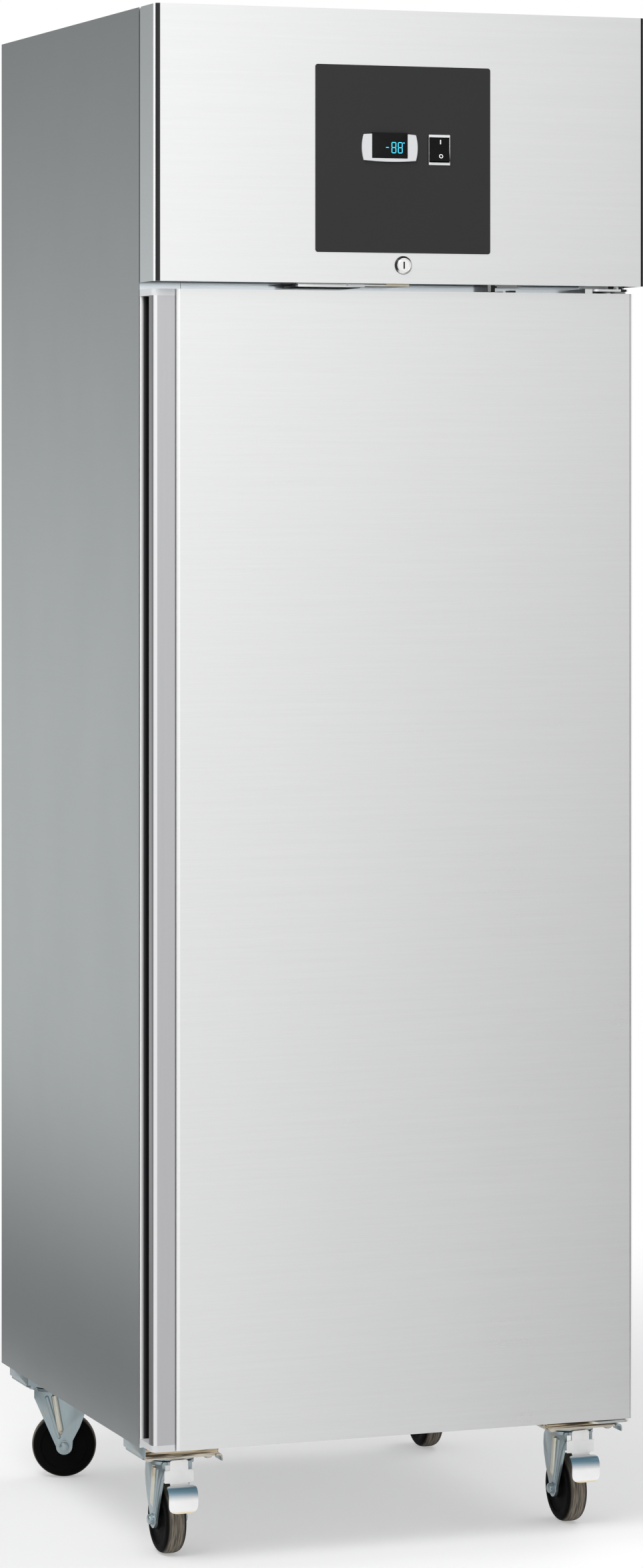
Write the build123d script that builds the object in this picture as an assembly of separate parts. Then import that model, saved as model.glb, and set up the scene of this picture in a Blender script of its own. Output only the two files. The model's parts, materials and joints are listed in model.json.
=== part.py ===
from build123d import *
import os
from math import cos, radians, sin, tan

# Upright one-door commercial refrigerator on four swivel castors, in millimetres.
# +Z is up, the front is -Y, and the origin is on the floor under the middle of the
# overall box. Each sub-part is written as parts/NODE.step, in its place.

os.makedirs("parts", exist_ok=True)

# Overall sizes
WIDTH = 680.0
CABINET_DEPTH = 700.0        # back panel to hood face
HEIGHT = 2010.0
CASTOR_HEIGHT = 152.0        # floor to cabinet bottom
HOOD_DEPTH = 70.0            # hood face ahead of the frame face
HOOD_HEIGHT = 355.0
CONTROLS_PROUD = 4.0         # controls ahead of the hood face
SHEET = 1.0                  # every folded sheet
CONTACT_GAP = 0.3            # between a moving piece and its seat
RUNNING_FIT = 0.05           # radial, a shaft in its bore
OVERRUN = 1.0                # a cut runs this far past the face it opens

# Insulated walls, outside to inside
SIDE_WALL = 56.0
BACK_WALL = 60.0
FLOOR_WALL = 60.0
CEILING_WALL = 70.0
LINER_CORNER = 18.0
DECK_ABOVE_HOOD_EDGE = 5.0
FRAME_UPSTAND = 30.0         # frame above the deck
FRAME_RETURN = 15.0          # frame's fold into the compartment
FRAME_SEAM = 0.6
PANEL_FLANGE = 18.0
PANEL_FLANGE_TOP_GAP = 10.0  # front flange stays clear of the lifting hood

# Door and its grip
DOOR_THICK = 57.5            # door face ahead of the frame face
DOOR_FRAME_GAP = 3.0
DOOR_BOTTOM_GAP = 4.0
DOOR_TOP_GAP = 9.5
DOOR_RIGHT_INSET = 11.0
DOOR_BEND = 6.0
DOOR_LIP = 10.0
LINER_RECESS = 11.0          # liner's flat behind the frame face
LINER_RISE = 9.0             # raised middle, past the frame face
LINER_RISE_MARGIN = 14.0     # raised middle inside the opening
LINER_RISE_EDGE = 5.0
HANDLE_WIDTH = 30.2
HANDLE_STEP = 1.0            # grip's face behind the door face
HANDLE_SEAM = 0.8            # grip to door skin
HANDLE_WALL = 2.0
HANDLE_NOSE_BACK = 41.0      # back of the nose, from the frame face
HANDLE_NOSE_BEND = 7.0
HANDLE_NOSE_EDGE, HANDLE_LEG_EDGE = 1.2, 0.6
HANDLE_LEG_INSET = 0.5
HANDLE_HOLLOW_CORNER = 3.0
POCKET_DEEP = 22.0           # finger groove, from the left edge
POCKET_LINING = 1.2
POCKET_LINING_START = 5.5
POCKET_BEND = 6.0
END_CAP = 8.5
GASKET_WIDTH = 18.0
GASKET_BULB = 12.0
GASKET_BASE = 5.0
GASKET_JOIN = 1.0            # bulb's root in the base
GASKET_CORNER = 3.0
GASKET_EDGE = 12.0           # gasket outside the opening's edge, inner side

# Door hinge
HINGE_PIN_INSET = 22.0       # pin from the cabinet's right side
HINGE_PIN_AHEAD = 32.0       # pin ahead of the frame face
HINGE_PIN_RADIUS = 4.0
HINGE_PIN_REACH = 20.0
HINGE_PLATE = 3.0
HINGE_PLATE_WIDTH = 55.0
HINGE_PLATE_CORNER = 9.6
HINGE_PLATE_EDGE = 12.0      # pin centre to the plate's right edge
HINGE_PLATE_NOSE = 14.0      # pin centre to the plate's front edge
HINGE_FLANGE = 34.0
HINGE_UNDER = 53.0           # lower plate under the cabinet
HINGE_PIN_HEAD_RADIUS, HINGE_PIN_HEAD = 6.0, 3.0
HINGE_STOP = 11.0            # stop block beside the upper plate
BUSH_RADIUS = 7.0
BUSH_FLANGE_RADIUS = 10.0
BUSH_LENGTH = 22.0

# Hood and its hinge
HOOD_BEND = 6.0
HOOD_FRAME_GAP = 0.5
HOOD_BOTTOM_FLANGE = 15.0
HOOD_TOP_SHORT = 2.0         # top sheet stops ahead of the pivot
HOOD_PIVOT_BACK = 10.0       # from the hood's rear edge and from its top
HOOD_PIN_RADIUS = 4.0
HOOD_BOSS_RADIUS = 8.0
HOOD_BOSS = 2.0
HOOD_EAR = 3.0
HOOD_EAR_RADIUS = 7.0
HOOD_EAR_INSET = 9.0         # from the cabinet's side to the ear's outer face
HOOD_FOOT_HEIGHT = 28.0
HOOD_FOOT = 2.0
HOOD_FOOT_DROP = 2.0         # foot's top below the pivot

# Controls on the hood
CONTROL_X = -2.0
PLATE_SIDE = 243.0
PLATE_SHEET = 0.8
PLATE_CORNER = 3.5
PLATE_ABOVE_EDGE = 39.7      # above the hood's lower edge, like the next three
CONTROLLER_X = -20.6
CONTROLLER_ABOVE_EDGE = 177.0
BEZEL_WIDTH, BEZEL_HEIGHT = 78.7, 38.0
BEZEL_CORNER, BEZEL_ROUND = 7.0, 1.2
WINDOW_WIDTH, WINDOW_HEIGHT = 49.3, 32.0
WINDOW_BACK = 0.6            # window behind the bezel's face
CONTROLLER_WIDTH, CONTROLLER_HEIGHT = 70.0, 28.0
CONTROLLER_DEEP = 60.0
ROCKER_X = 47.8
ROCKER_ABOVE_EDGE = 174.7
ROCKER_WIDTH, ROCKER_HEIGHT = 28.0, 31.0
ROCKER_FRAME_WIDTH, ROCKER_FRAME_HEIGHT = 31.5, 39.3
ROCKER_FRAME, ROCKER_FRAME_CORNER = 1.0, 1.5
ROCKER_CASE_DEEP = 24.0
ROCKER_TILT = 6.0            # each way from level
ROCKER_PIVOT_DEEP = 5.0      # pivot behind the hood face
ROCKER_PROUD = 0.6           # middle of the rocker ahead of the hood face
ROCKER_SIDE_GAP = 0.4
ROCKER_END_GAP = 1.0         # room for its ends to swing
ROCKER_WEDGE, ROCKER_WEDGE_HALF = 8.0, 5.0
ROCKER_PIN_RADIUS = 1.5
LOCK_ABOVE_EDGE = 23.9
LOCK_RADIUS, LOCK_ROUND = 9.5, 1.0
LOCK_FLANGE_RADIUS = 11.3
LOCK_FLANGE = 2.0
LOCK_DEEP = 24.0
LOCK_NUT_RADIUS = 13.0
LOCK_NUT = 4.0
CORE_RADIUS = 7.0
CORE_BACK = 0.5              # core's face behind the lock's face
KEY_WIDTH, KEY_HEIGHT, KEY_DEEP = 1.8, 9.0, 6.0
CAM = 2.0
CAM_WIDTH, CAM_BOSS = 12.0, 1.0
CAM_REACH = 19.0

# Catch and switch on the rail over the door
CATCH_LEFT, CATCH_RIGHT = -125.0, -31.0
CATCH_SHEET = 2.0
CATCH_BELOW_HOOD = 3.0
CATCH_HOOK_HALF = 16.0
CATCH_HOOK_GAP = 2.0         # hook ahead of the cam
CATCH_HOOK_ABOVE_EDGE = 13.0
CATCH_DEEP, CATCH_HOOK_OVERLAP, CATCH_HOOK_BACK = 26.0, 40.0, 12.0
CATCH_FRAME_GAP = 6.0        # catch's back below the frame's top
SWITCH_LEFT, SWITCH_WIDTH = 134.0, 11.0
SWITCH_DEEP = 24.0
SWITCH_BELOW_HOOD = 8.0
SWITCH_HEIGHT = 22.0
SWITCH_STRIP = 40.0
SWITCH_STRIP_SHEET, SWITCH_STRIP_DEEP, SWITCH_STRIP_UP = 2.0, 18.0, 14.0
SWITCH_CORNER = 1.5
MAGNET_LEFT, MAGNET_WIDTH, MAGNET_DEEP, MAGNET_HEIGHT = 164.0, 8.0, 16.0, 3.5
MAGNET_BACK = 2.0            # magnet's middle behind the switch's front

# Castors
CASTOR_INSET_X = 58.0
CASTOR_INSET_FRONT = 45.0
CASTOR_INSET_BACK = 60.0
CASTOR_YAW = {"front_left": 0.0, "front_right": 0.0, "rear_left": -107.0, "rear_right": 0.0}
BRACKET_HEIGHT = 15.0
BRACKET_WALL = 2.5
TOP_PLATE_X, TOP_PLATE_Y, TOP_PLATE = 100.0, 86.0, 3.0
TOP_PLATE_CORNER = 8.0
RACE_RADIUS, RACE_HEIGHT, RACE_ROUND = 29.0, 7.0, 3.0
CROWN, CROWN_OVER_RACE = 4.0, 1.0
KINGPIN_RADIUS, KINGPIN_HEAD_RADIUS, KINGPIN_HEAD = 6.0, 10.0, 3.0
WHEEL_RADIUS, WHEEL_WIDTH = 45.0, 28.0
WHEEL_SHOULDER = 7.0
HUB_RADIUS = 13.0
WEB_RADIUS, WEB_RECESS = 33.0, 1.5
TRAIL = 15.0
LEG_SHEET = 3.0
LEG_GAP = 2.5                # wheel side to leg
LEG_FRONT, LEG_BACK = 27.0, 32.0
LEG_SHOULDER = 13.0          # legs stay full width below the crown
LEG_FOOT_RADIUS = 11.5
RIB_RADIUS = 3.0
RIB_TOP_AHEAD, RIB_FOOT_BEHIND, RIB_FOOT_ABOVE = 9.0, 7.5, 2.0
AXLE_RADIUS, AXLE_HEAD_RADIUS, AXLE_HEAD = 4.0, 7.0, 5.0
PEDAL_PIVOT_AHEAD, PEDAL_PIVOT_Z = 26.0, 109.0
PEDAL_PIN_RADIUS = 2.5
PEDAL_EAR_RADIUS = 6.0
PEDAL_SHEET = 2.0
PEDAL_AHEAD = 33.0           # back of the pedal's neck, from the swivel axis
PEDAL_NECK = 25.0
PEDAL_WIDTH = 40.0
PEDAL_TOP, PEDAL_EARS_TOP, PEDAL_EARS_BOTTOM = 130.0, 117.0, 101.0
PEDAL_TIP_AHEAD, PEDAL_TIP_Z = 54.0, 64.0
PEDAL_BEND, PEDAL_CORNER = 14.0, 3.0
PEDAL_NECK_DROP, PEDAL_PAD_DROP = 6.0, 3.0
PEDAL_BARREL_WALL, PEDAL_LINK_HALF = 2.0, 2.0

# Compartment fittings
UPRIGHT_WIDTH, UPRIGHT_DEEP = 22.0, 8.0
UPRIGHT_FROM_FLOOR, UPRIGHT_FROM_CEILING = 38.0, 160.0
UPRIGHT_FROM_FRONT, UPRIGHT_FROM_BACK = 48.0, 67.0
SLOT_PITCH, SLOT_WIDTH, SLOT_HEIGHT = 50.0, 12.0, 5.0
FIRST_SHELF, SHELF_SPACING = 308.0, 310.0
RUNNER_SHEET = 1.5
RUNNER_HEIGHT, RUNNER_LEDGE = 22.0, 24.0
RUNNER_ROOM, SHELF_ROOM = 75.0, 55.0     # compartment's depth that each leaves free
SHELF_SIDE_GAP = 2.0
RIM_WIRE, FILL_WIRE = 3.5, 2.0
FILL_WIRES = 21
CROSS_WIRES = 3
RIM_BEND = 18.0
WELD = 0.6                   # how far crossing wires sink into each other

# Air cooler under the compartment's ceiling
COVER_SIDE_GAP, COVER_FROM_BACK, COVER_HEIGHT = 34.0, 272.0, 125.0
COVER_BACK_GAP = 2.0
COOLER_FAN_FROM_BACK, COOLER_FAN_RADIUS = 187.0, 74.0
COOLER_RING_GAP = 6.0
COOLER_LEFT_GAP, COOLER_RIGHT_GAP = 84.0, 134.0
COOLER_BACK_GAP, COOLER_DEPTH = 17.0, 80.0
COOLER_BOTTOM_GAP, COOLER_HEIGHT = 15.0, 95.0
COOLER_FINS = 24
COOLER_ROWS, COOLER_COLUMNS = 4, 3
FIN, END_PLATE = 0.8, 1.6
TUBE_RADIUS = 4.5
TUBE_BEND, BEND_REACH = 10.0, 12.0
COVER_SLOTS, COVER_SLOT_WIDTH, COVER_SLOT_HEIGHT = 5, 10.0, 70.0
COVER_SLOT_INSET, COVER_SLOT_PITCH = 30.0, 22.0
GUARD_WIRE, GUARD_CROSSING = 1.5, 1.9
GUARD_RINGS = (0.3, 0.55, 0.8, 1.04)
GUARD_SPOKES, GUARD_TURN = 4, 22.0
GUARD_FOOT_RADIUS, GUARD_FOOT_OUT = 4.0, 10.0
MOTOR_RADIUS, MOTOR_HEIGHT, MOTOR_ROUND = 32.0, 48.0, 4.0
COOLER_BLADE_DEPTH, COOLER_HUB_RADIUS = 22.0, 20.0
COOLER_ARMS, COOLER_ARM_REACH, COOLER_ARM_ABOVE = 3, 8.0, 8.0
BLADE_CLEAR, MOTOR_CLEAR = 4.0, 3.0
SHAFT_RADIUS, SHAFT_SHARE = 3.0, 0.6     # shaft reaches this share into its motor
PROBE_RADIUS, PROBE_LENGTH = 3.0, 40.0

# Drain and its tray
DRAIN_RADIUS, DRAIN_BORE = 8.0, 6.0
DRAIN_MOUTH = 60.0           # behind the coil's front
DRAIN_FROM_BACK = 30.0
DRAIN_DROP, DRAIN_TAIL = 20.0, 9.0
DRAIN_BENDS = [12.0, 20.0]
TRAY_HALF_WIDTH, TRAY_DEPTH, TRAY_HEIGHT, TRAY_CORNER = 110.0, 135.0, 26.0, 6.0
TRAY_BELOW, TRAY_SHEET, TRAY_LIP, TRAY_LIP_INSET = 14.0, 1.2, 9.0, 8.0
TRAY_BACK_GAP = 2.0
TRACK_SHEET, TRACK_HEM, TRACK_CLEAR = 2.0, 0.6, 1.0

# Machine bay on the deck
CONDENSER_SIDE_GAP, CONDENSER_TO_COMPRESSOR = 40.0, 170.0
CONDENSER_BACK_GAP, CONDENSER_DEPTH = 37.0, 60.0
CONDENSER_LIFT, CONDENSER_TALL = 15.0, 260.0
CONDENSER_FINS = 40
CONDENSER_ROWS, CONDENSER_COLUMNS = 7, 2
SHROUD_DEEP, SHROUD_FOOT = 40.0, 14.0
CONDENSER_FAN_MARGIN, CONDENSER_RING_GAP = 18.0, 6.0
RING_FROM_COIL = 6.0
BLADES = 5
BLADE_PITCH = 28.0
BLADE_SHEET = 1.6
BLADE_CHORD, BLADE_TRIM = 1.6, 1.2       # times the hub's depth: a flat blade, and what is left of it
CONDENSER_BLADE_DEPTH, CONDENSER_HUB_RADIUS = 26.0, 28.0
BAY_MOTOR_RADIUS, BAY_MOTOR_LENGTH, BAY_MOTOR_ROUND = 38.0, 62.0, 5.0
CONDENSER_ARMS, CONDENSER_ARM_REACH = 4, 6.0
ARM_WIDTH, ARM = 16.0, 3.0
COMPRESSOR_FROM_SIDE, COMPRESSOR_AHEAD = 160.0, 325.0   # the second is ahead of the condenser
SHELL_RADIUS, SHELL_HEIGHT, SHELL_ROUND = 92.0, 200.0, 42.0
SEAM_PROUD, SEAM, SEAM_SHARE = 5.0, 6.0, 0.55
BASE_X, BASE_Y, BASE_SHEET, BASE_CORNER = 210.0, 160.0, 3.0, 12.0
GROMMET_RADIUS, GROMMET_HEIGHT, GROMMET_INSET = 13.0, 16.0, 18.0
TERMINAL_WIDTH, TERMINAL_HEIGHT, TERMINAL_DEEP = 64.0, 82.0, 34.0
TERMINAL_ABOVE, TERMINAL_CORNER = 18.0, 6.0
BOX_SIDE_GAP, BOX_FRONT_GAP = 25.0, 38.0
BOX_WIDTH, BOX_DEEP, BOX_HEIGHT, BOX_CORNER = 150.0, 120.0, 95.0, 5.0
BOX_LID, LID_OVERHANG = 3.0, 2.0
DISCHARGE_RADIUS, SUCTION_RADIUS, LIQUID_RADIUS = 4.0, 5.0, 3.0
DRIER_RADIUS, DRIER_LENGTH = 11.0, 110.0
DRIER_NECK, DRIER_NECK_WALL, DRIER_ROUND = 12.0, 1.5, 6.0
DRIER_ASIDE, DRIER_AHEAD, DRIER_LEAD = 65.0, 65.0, 30.0
DISCHARGE_ASIDE, DISCHARGE_SHIFT = 45.0, 30.0
LIQUID_ASIDE = 15.0
DISCHARGE_BENDS, SUCTION_BENDS = [16.0, 24.0, 20.0], [12.0, 30.0]
OUTLET_BENDS, LIQUID_BENDS = [16.0], [12.0, 20.0, 20.0, 12.0]
DISCHARGE_SHARE, SUCTION_SHARE = 0.38, 0.62     # shares of the shell's height
PORT_DEEP, DISCHARGE_PORT_DEEP = 4.0, 8.0
LOUVRE_COLUMNS = 3
LOUVRE_HEIGHT, LOUVRE_PITCH = 9.0, 26.0
LOUVRE_SIDE_MARGIN, LOUVRE_FROM_DECK, LOUVRE_FROM_TOP = 44.0, 40.0, 30.0
GLAND_RADIUS, GLAND_NECK_RADIUS, GLAND_BORE, GLAND_LENGTH = 12.0, 9.0, 5.0, 14.0
GLAND_FROM_SIDE, GLAND_ABOVE_DECK = 55.0, 20.0

# Faces worked out from the sizes above
LEFT, RIGHT = -WIDTH / 2, WIDTH / 2
HOOD_FACE = -(CABINET_DEPTH + CONTROLS_PROUD) / 2 + CONTROLS_PROUD
FRAME_FACE = HOOD_FACE + HOOD_DEPTH
BACK = HOOD_FACE + CABINET_DEPTH
BOTTOM = CASTOR_HEIGHT
HOOD_BOTTOM = HEIGHT - HOOD_HEIGHT
DECK = HOOD_BOTTOM + DECK_ABOVE_HOOD_EDGE
FRAME_TOP = DECK + FRAME_UPSTAND
ROOM_LEFT, ROOM_RIGHT = LEFT + SIDE_WALL, RIGHT - SIDE_WALL
ROOM_BACK = BACK - BACK_WALL
ROOM_FLOOR = BOTTOM + FLOOR_WALL
ROOM_CEILING = DECK - CEILING_WALL
LINER_FRONT = FRAME_FACE + FRAME_RETURN

DOOR_FACE = FRAME_FACE - DOOR_THICK
DOOR_REAR = FRAME_FACE - DOOR_FRAME_GAP
DOOR_BOTTOM = BOTTOM + DOOR_BOTTOM_GAP
DOOR_TOP = HOOD_BOTTOM - DOOR_TOP_GAP
DOOR_RIGHT = RIGHT - DOOR_RIGHT_INSET
SKIN_LEFT = LEFT + HANDLE_WIDTH + HANDLE_SEAM
POCKET_WALL = LEFT + POCKET_DEEP + HANDLE_WALL
LINER_FLAT = FRAME_FACE - LINER_RECESS
NOSE_BACK = FRAME_FACE - HANDLE_NOSE_BACK
HANDLE_FACE = DOOR_FACE + HANDLE_STEP
HINGE_X = RIGHT - HINGE_PIN_INSET
HINGE_Y = FRAME_FACE - HINGE_PIN_AHEAD

PLATE_BOTTOM = HOOD_BOTTOM + PLATE_ABOVE_EDGE
CONTROLLER_Z = HOOD_BOTTOM + CONTROLLER_ABOVE_EDGE
ROCKER_Z = HOOD_BOTTOM + ROCKER_ABOVE_EDGE
LOCK_Z = HOOD_BOTTOM + LOCK_ABOVE_EDGE
CATCH_HOOK_TOP = HOOD_BOTTOM + CATCH_HOOK_ABOVE_EDGE
HOOD_REAR = FRAME_FACE - HOOD_FRAME_GAP
HOOD_PIVOT_Y = HOOD_REAR - HOOD_PIVOT_BACK
HOOD_PIVOT_Z = HEIGHT - HOOD_PIVOT_BACK

COVER_BOTTOM = ROOM_CEILING - COVER_HEIGHT
COVER_HALF_WIDTH = ROOM_RIGHT - COVER_SIDE_GAP
COVER_FRONT = ROOM_BACK - COVER_FROM_BACK
COOLER_FAN_Y = ROOM_BACK - COOLER_FAN_FROM_BACK
COOLER_LEFT, COOLER_RIGHT = ROOM_LEFT + COOLER_LEFT_GAP, ROOM_RIGHT - COOLER_RIGHT_GAP
COOLER_BACK = ROOM_BACK - COOLER_BACK_GAP
COOLER_FRONT = COOLER_BACK - COOLER_DEPTH
COOLER_Z = COVER_BOTTOM + COOLER_BOTTOM_GAP
COOLER_SPACE = ((COOLER_LEFT, COOLER_RIGHT), (COOLER_FRONT, COOLER_BACK),
                (COOLER_Z, COOLER_Z + COOLER_HEIGHT))
UPRIGHT_BOTTOM, UPRIGHT_TOP = ROOM_FLOOR + UPRIGHT_FROM_FLOOR, ROOM_CEILING - UPRIGHT_FROM_CEILING
UPRIGHT_FRONT_Y, UPRIGHT_BACK_Y = LINER_FRONT + UPRIGHT_FROM_FRONT, ROOM_BACK - UPRIGHT_FROM_BACK
SHELVES = int((COVER_BOTTOM - ROOM_FLOOR) / SHELF_SPACING) - 1
SHELF_LEVELS = [ROOM_FLOOR + FIRST_SHELF + shelf * SHELF_SPACING for shelf in range(SHELVES)]
RUNNER_LENGTH = ROOM_BACK - LINER_FRONT - RUNNER_ROOM
SHELF_DEPTH = ROOM_BACK - LINER_FRONT - SHELF_ROOM
DRAIN_Y = BACK - DRAIN_FROM_BACK
DRAIN_END = BOTTOM - DRAIN_TAIL
TRAY_FRONT = BACK - TRAY_BACK_GAP - TRAY_DEPTH

COMPRESSOR_X = RIGHT - COMPRESSOR_FROM_SIDE
CONDENSER_LEFT, CONDENSER_RIGHT = LEFT + CONDENSER_SIDE_GAP, COMPRESSOR_X - CONDENSER_TO_COMPRESSOR
CONDENSER_BACK = BACK - CONDENSER_BACK_GAP
CONDENSER_FRONT = CONDENSER_BACK - CONDENSER_DEPTH
COMPRESSOR_Y = CONDENSER_FRONT - COMPRESSOR_AHEAD
CONDENSER_FAN_RADIUS = min(CONDENSER_RIGHT - CONDENSER_LEFT, CONDENSER_TALL) / 2 - CONDENSER_FAN_MARGIN
CONDENSER_Z = DECK + CONDENSER_LIFT
CONDENSER_SPACE = ((CONDENSER_LEFT, CONDENSER_RIGHT), (CONDENSER_FRONT, CONDENSER_BACK),
                   (CONDENSER_Z, CONDENSER_Z + CONDENSER_TALL))
BOX_LEFT, BOX_FRONT = LEFT + BOX_SIDE_GAP, FRAME_FACE + BOX_FRONT_GAP
LOUVRE_ROWS = 1 + int((HEIGHT - DECK - LOUVRE_FROM_DECK - LOUVRE_HEIGHT - LOUVRE_FROM_TOP) / LOUVRE_PITCH)
LOUVRE_WIDTH = (WIDTH - 2 * LOUVRE_SIDE_MARGIN - (LOUVRE_COLUMNS - 1) * LOUVRE_PITCH) / LOUVRE_COLUMNS
GLAND_X, GLAND_Z = RIGHT - GLAND_FROM_SIDE, DECK + GLAND_ABOVE_DECK

PLATE_TOP_Z = CASTOR_HEIGHT - BRACKET_HEIGHT
PLATE_BOTTOM_Z = PLATE_TOP_Z - TOP_PLATE
RACE_BOTTOM = PLATE_BOTTOM_Z - RACE_HEIGHT
CROWN_TOP = RACE_BOTTOM - CONTACT_GAP
LEG_INNER = WHEEL_WIDTH / 2 + LEG_GAP
LEG_OUTER = LEG_INNER + LEG_SHEET
CASTORS = {
    "front_left": (LEFT + CASTOR_INSET_X, FRAME_FACE + CASTOR_INSET_FRONT),
    "front_right": (RIGHT - CASTOR_INSET_X, FRAME_FACE + CASTOR_INSET_FRONT),
    "rear_left": (LEFT + CASTOR_INSET_X, BACK - CASTOR_INSET_BACK),
    "rear_right": (RIGHT - CASTOR_INSET_X, BACK - CASTOR_INSET_BACK),
}


def block(x, y, z):
    """Box between two limits on each axis, in either order."""
    sizes = [abs(limit[1] - limit[0]) for limit in (x, y, z)]
    middle = [(limit[0] + limit[1]) / 2 for limit in (x, y, z)]
    return Pos(*middle) * Box(*sizes)


def rod(start, end, radius):
    """Round bar from one point to another."""
    start, end = Vector(*start), Vector(*end)
    along = end - start
    return Solid.make_cylinder(radius, along.length, Plane(origin=start, z_dir=along))


def cross_rod(x, y, z, radius):
    """Round bar along X, between two limits."""
    return rod((x[0], y, z), (x[1], y, z), radius)


def prism(points, plane, amount, radii=0.0):
    """Closed outline on a plane, its corners rounded, pushed out along the normal."""
    outline = FilletPolyline(*points, radius=radii, close=True)
    return extrude(plane * make_face(outline), amount=amount)


def bent_pipe(points, radius, bends):
    """Round bar along straight runs joined by arcs."""
    path = FilletPolyline(*points, radius=bends)
    return sweep(Plane(origin=path @ 0, z_dir=path % 0) * Circle(radius), path=path)


def rounded_along(shape, axis, radius):
    """Shape with its edges along one axis rounded."""
    return fillet(shape.edges().filter_by(axis), radius)


def front_rounded(shape, radius):
    """Shape with its upright front edges rounded."""
    return fillet(shape.edges().filter_by(Axis.Z).group_by(Axis.Y)[0], radius)


def save(node, *shapes):
    """Write one sub-part, made of one or more separate solids."""
    solids = [solid for shape in shapes for solid in shape.solids()]
    export_step(solids[0] if len(solids) == 1 else Compound(children=solids), f"parts/{node}.step")


# Cabinet sheets
def side_panel(side):
    """Full-height side sheet with its flanges beside the machine bay."""
    outer = side * WIDTH / 2
    inner = outer - side * SHEET
    tip = outer - side * PANEL_FLANGE
    sheet = block((outer, inner), (FRAME_FACE, BACK), (BOTTOM, HEIGHT))
    front = block((inner, tip), (FRAME_FACE, FRAME_FACE + SHEET), (FRAME_TOP, HEIGHT - PANEL_FLANGE_TOP_GAP))
    top = block((inner, tip), (FRAME_FACE + PANEL_FLANGE, BACK - SHEET), (HEIGHT - SHEET, HEIGHT))
    return sheet + front + top


def frame_pieces():
    """Two stiles and two rails round the door opening, each with its inward fold."""
    face = (FRAME_FACE, FRAME_FACE + SHEET)
    fold = (FRAME_FACE, LINER_FRONT)
    pieces = []
    for outer, edge, out in ((LEFT + SHEET, ROOM_LEFT, -1), (RIGHT - SHEET, ROOM_RIGHT, 1)):
        stile = block((outer, edge), face, (BOTTOM, FRAME_TOP))
        stile += block((edge, edge + out * SHEET), fold, (ROOM_FLOOR, ROOM_CEILING))
        pieces.append(stile)
    across = (ROOM_LEFT + FRAME_SEAM, ROOM_RIGHT - FRAME_SEAM)
    pieces.append(block(across, face, (ROOM_CEILING, FRAME_TOP))
                  + block(across, fold, (ROOM_CEILING, ROOM_CEILING + SHEET)))
    pieces.append(block(across, face, (BOTTOM, ROOM_FLOOR))
                  + block(across, fold, (ROOM_FLOOR - SHEET, ROOM_FLOOR)))
    return pieces


def room(grow):
    """Space of the storage compartment, grown by the liner's sheet on every side."""
    space = block((ROOM_LEFT - grow, ROOM_RIGHT + grow), (LINER_FRONT, ROOM_BACK + grow),
                  (ROOM_FLOOR - grow, ROOM_CEILING + grow))
    return rounded_along(space, Axis.Y, LINER_CORNER + grow)


def liner_sheets(liner):
    """Lining as it is joined: a back sheet, four flat walls and four coved strips between them."""
    x = (ROOM_LEFT - SHEET, ROOM_LEFT + LINER_CORNER, ROOM_RIGHT - LINER_CORNER, ROOM_RIGHT + SHEET)
    z = (ROOM_FLOOR - SHEET, ROOM_FLOOR + LINER_CORNER, ROOM_CEILING - LINER_CORNER, ROOM_CEILING + SHEET)
    sheets = [liner & block((x[0], x[-1]), (ROOM_BACK, ROOM_BACK + SHEET), (z[0], z[-1]))]
    for column in range(3):
        for row in range(3):
            if (column, row) != (1, 1):
                sheets.append(liner & block(x[column:column + 2], (LINER_FRONT, ROOM_BACK), z[row:row + 2]))
    return sheets


def drain_path():
    """Route of the drain, from the cooler's cover to under the cabinet."""
    spout_y = COOLER_FRONT + DRAIN_MOUTH
    low = COVER_BOTTOM - DRAIN_DROP
    return [(0, spout_y, COVER_BOTTOM), (0, spout_y, low), (0, DRAIN_Y, low), (0, DRAIN_Y, DRAIN_END)]


def drain(radius):
    """Drain tube's outside or bore."""
    return bent_pipe(drain_path(), radius, DRAIN_BENDS)


def tube_route(space, rows, columns):
    """Corners of the one tube through a coil, from its lower front right end to its upper right end."""
    x, y, z = space
    left, right = x[0] - BEND_REACH, x[1] + BEND_REACH
    step_y = (y[1] - y[0]) / columns
    step_z = (z[1] - z[0]) / rows
    corners = []
    for row in range(rows):
        order = range(columns) if row % 2 == 0 else reversed(range(columns))
        for column in order:
            across = (left, right) if len(corners) % 4 else (right, left)
            place = (y[0] + (column + 0.5) * step_y, z[0] + (row + 0.5) * step_z)
            corners += [(across[0], *place), (across[1], *place)]
    return corners


def suction_path():
    """Route of the suction line, from the cooler up to the compressor."""
    start = tube_route(COOLER_SPACE, COOLER_ROWS, COOLER_COLUMNS)[-1]
    x, y = COMPRESSOR_X, start[1]
    high = DECK + GROMMET_HEIGHT + SHELL_HEIGHT * SUCTION_SHARE
    return [start, (x, y, start[2]), (x, y, high), (x, COMPRESSOR_Y + SHELL_RADIUS - PORT_DEEP, high)]


def liquid_path():
    """Route of the thin line, from the drier down to the cooler."""
    end = tube_route(COOLER_SPACE, COOLER_ROWS, COOLER_COLUMNS)[0]
    x = COMPRESSOR_X + LIQUID_ASIDE
    start = drier_end(1)
    turn_y = start[1] - DRIER_LEAD
    return [start, (start[0], turn_y, start[2]), (x, turn_y, start[2]),
            (x, end[1], start[2]), (x, end[1], end[2]), end]


def drier_end(which):
    """Ends of the filter drier: 0 towards the condenser, 1 towards the cooler."""
    z = tube_route(CONDENSER_SPACE, CONDENSER_ROWS, CONDENSER_COLUMNS)[0][2]
    y = CONDENSER_FRONT - DRIER_AHEAD - which * DRIER_LENGTH
    return (CONDENSER_RIGHT + DRIER_ASIDE, y, z)


def suction_line():
    return bent_pipe(suction_path(), SUCTION_RADIUS, SUCTION_BENDS)


def liquid_line():
    return bent_pipe(liquid_path(), LIQUID_RADIUS, LIQUID_BENDS)


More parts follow.
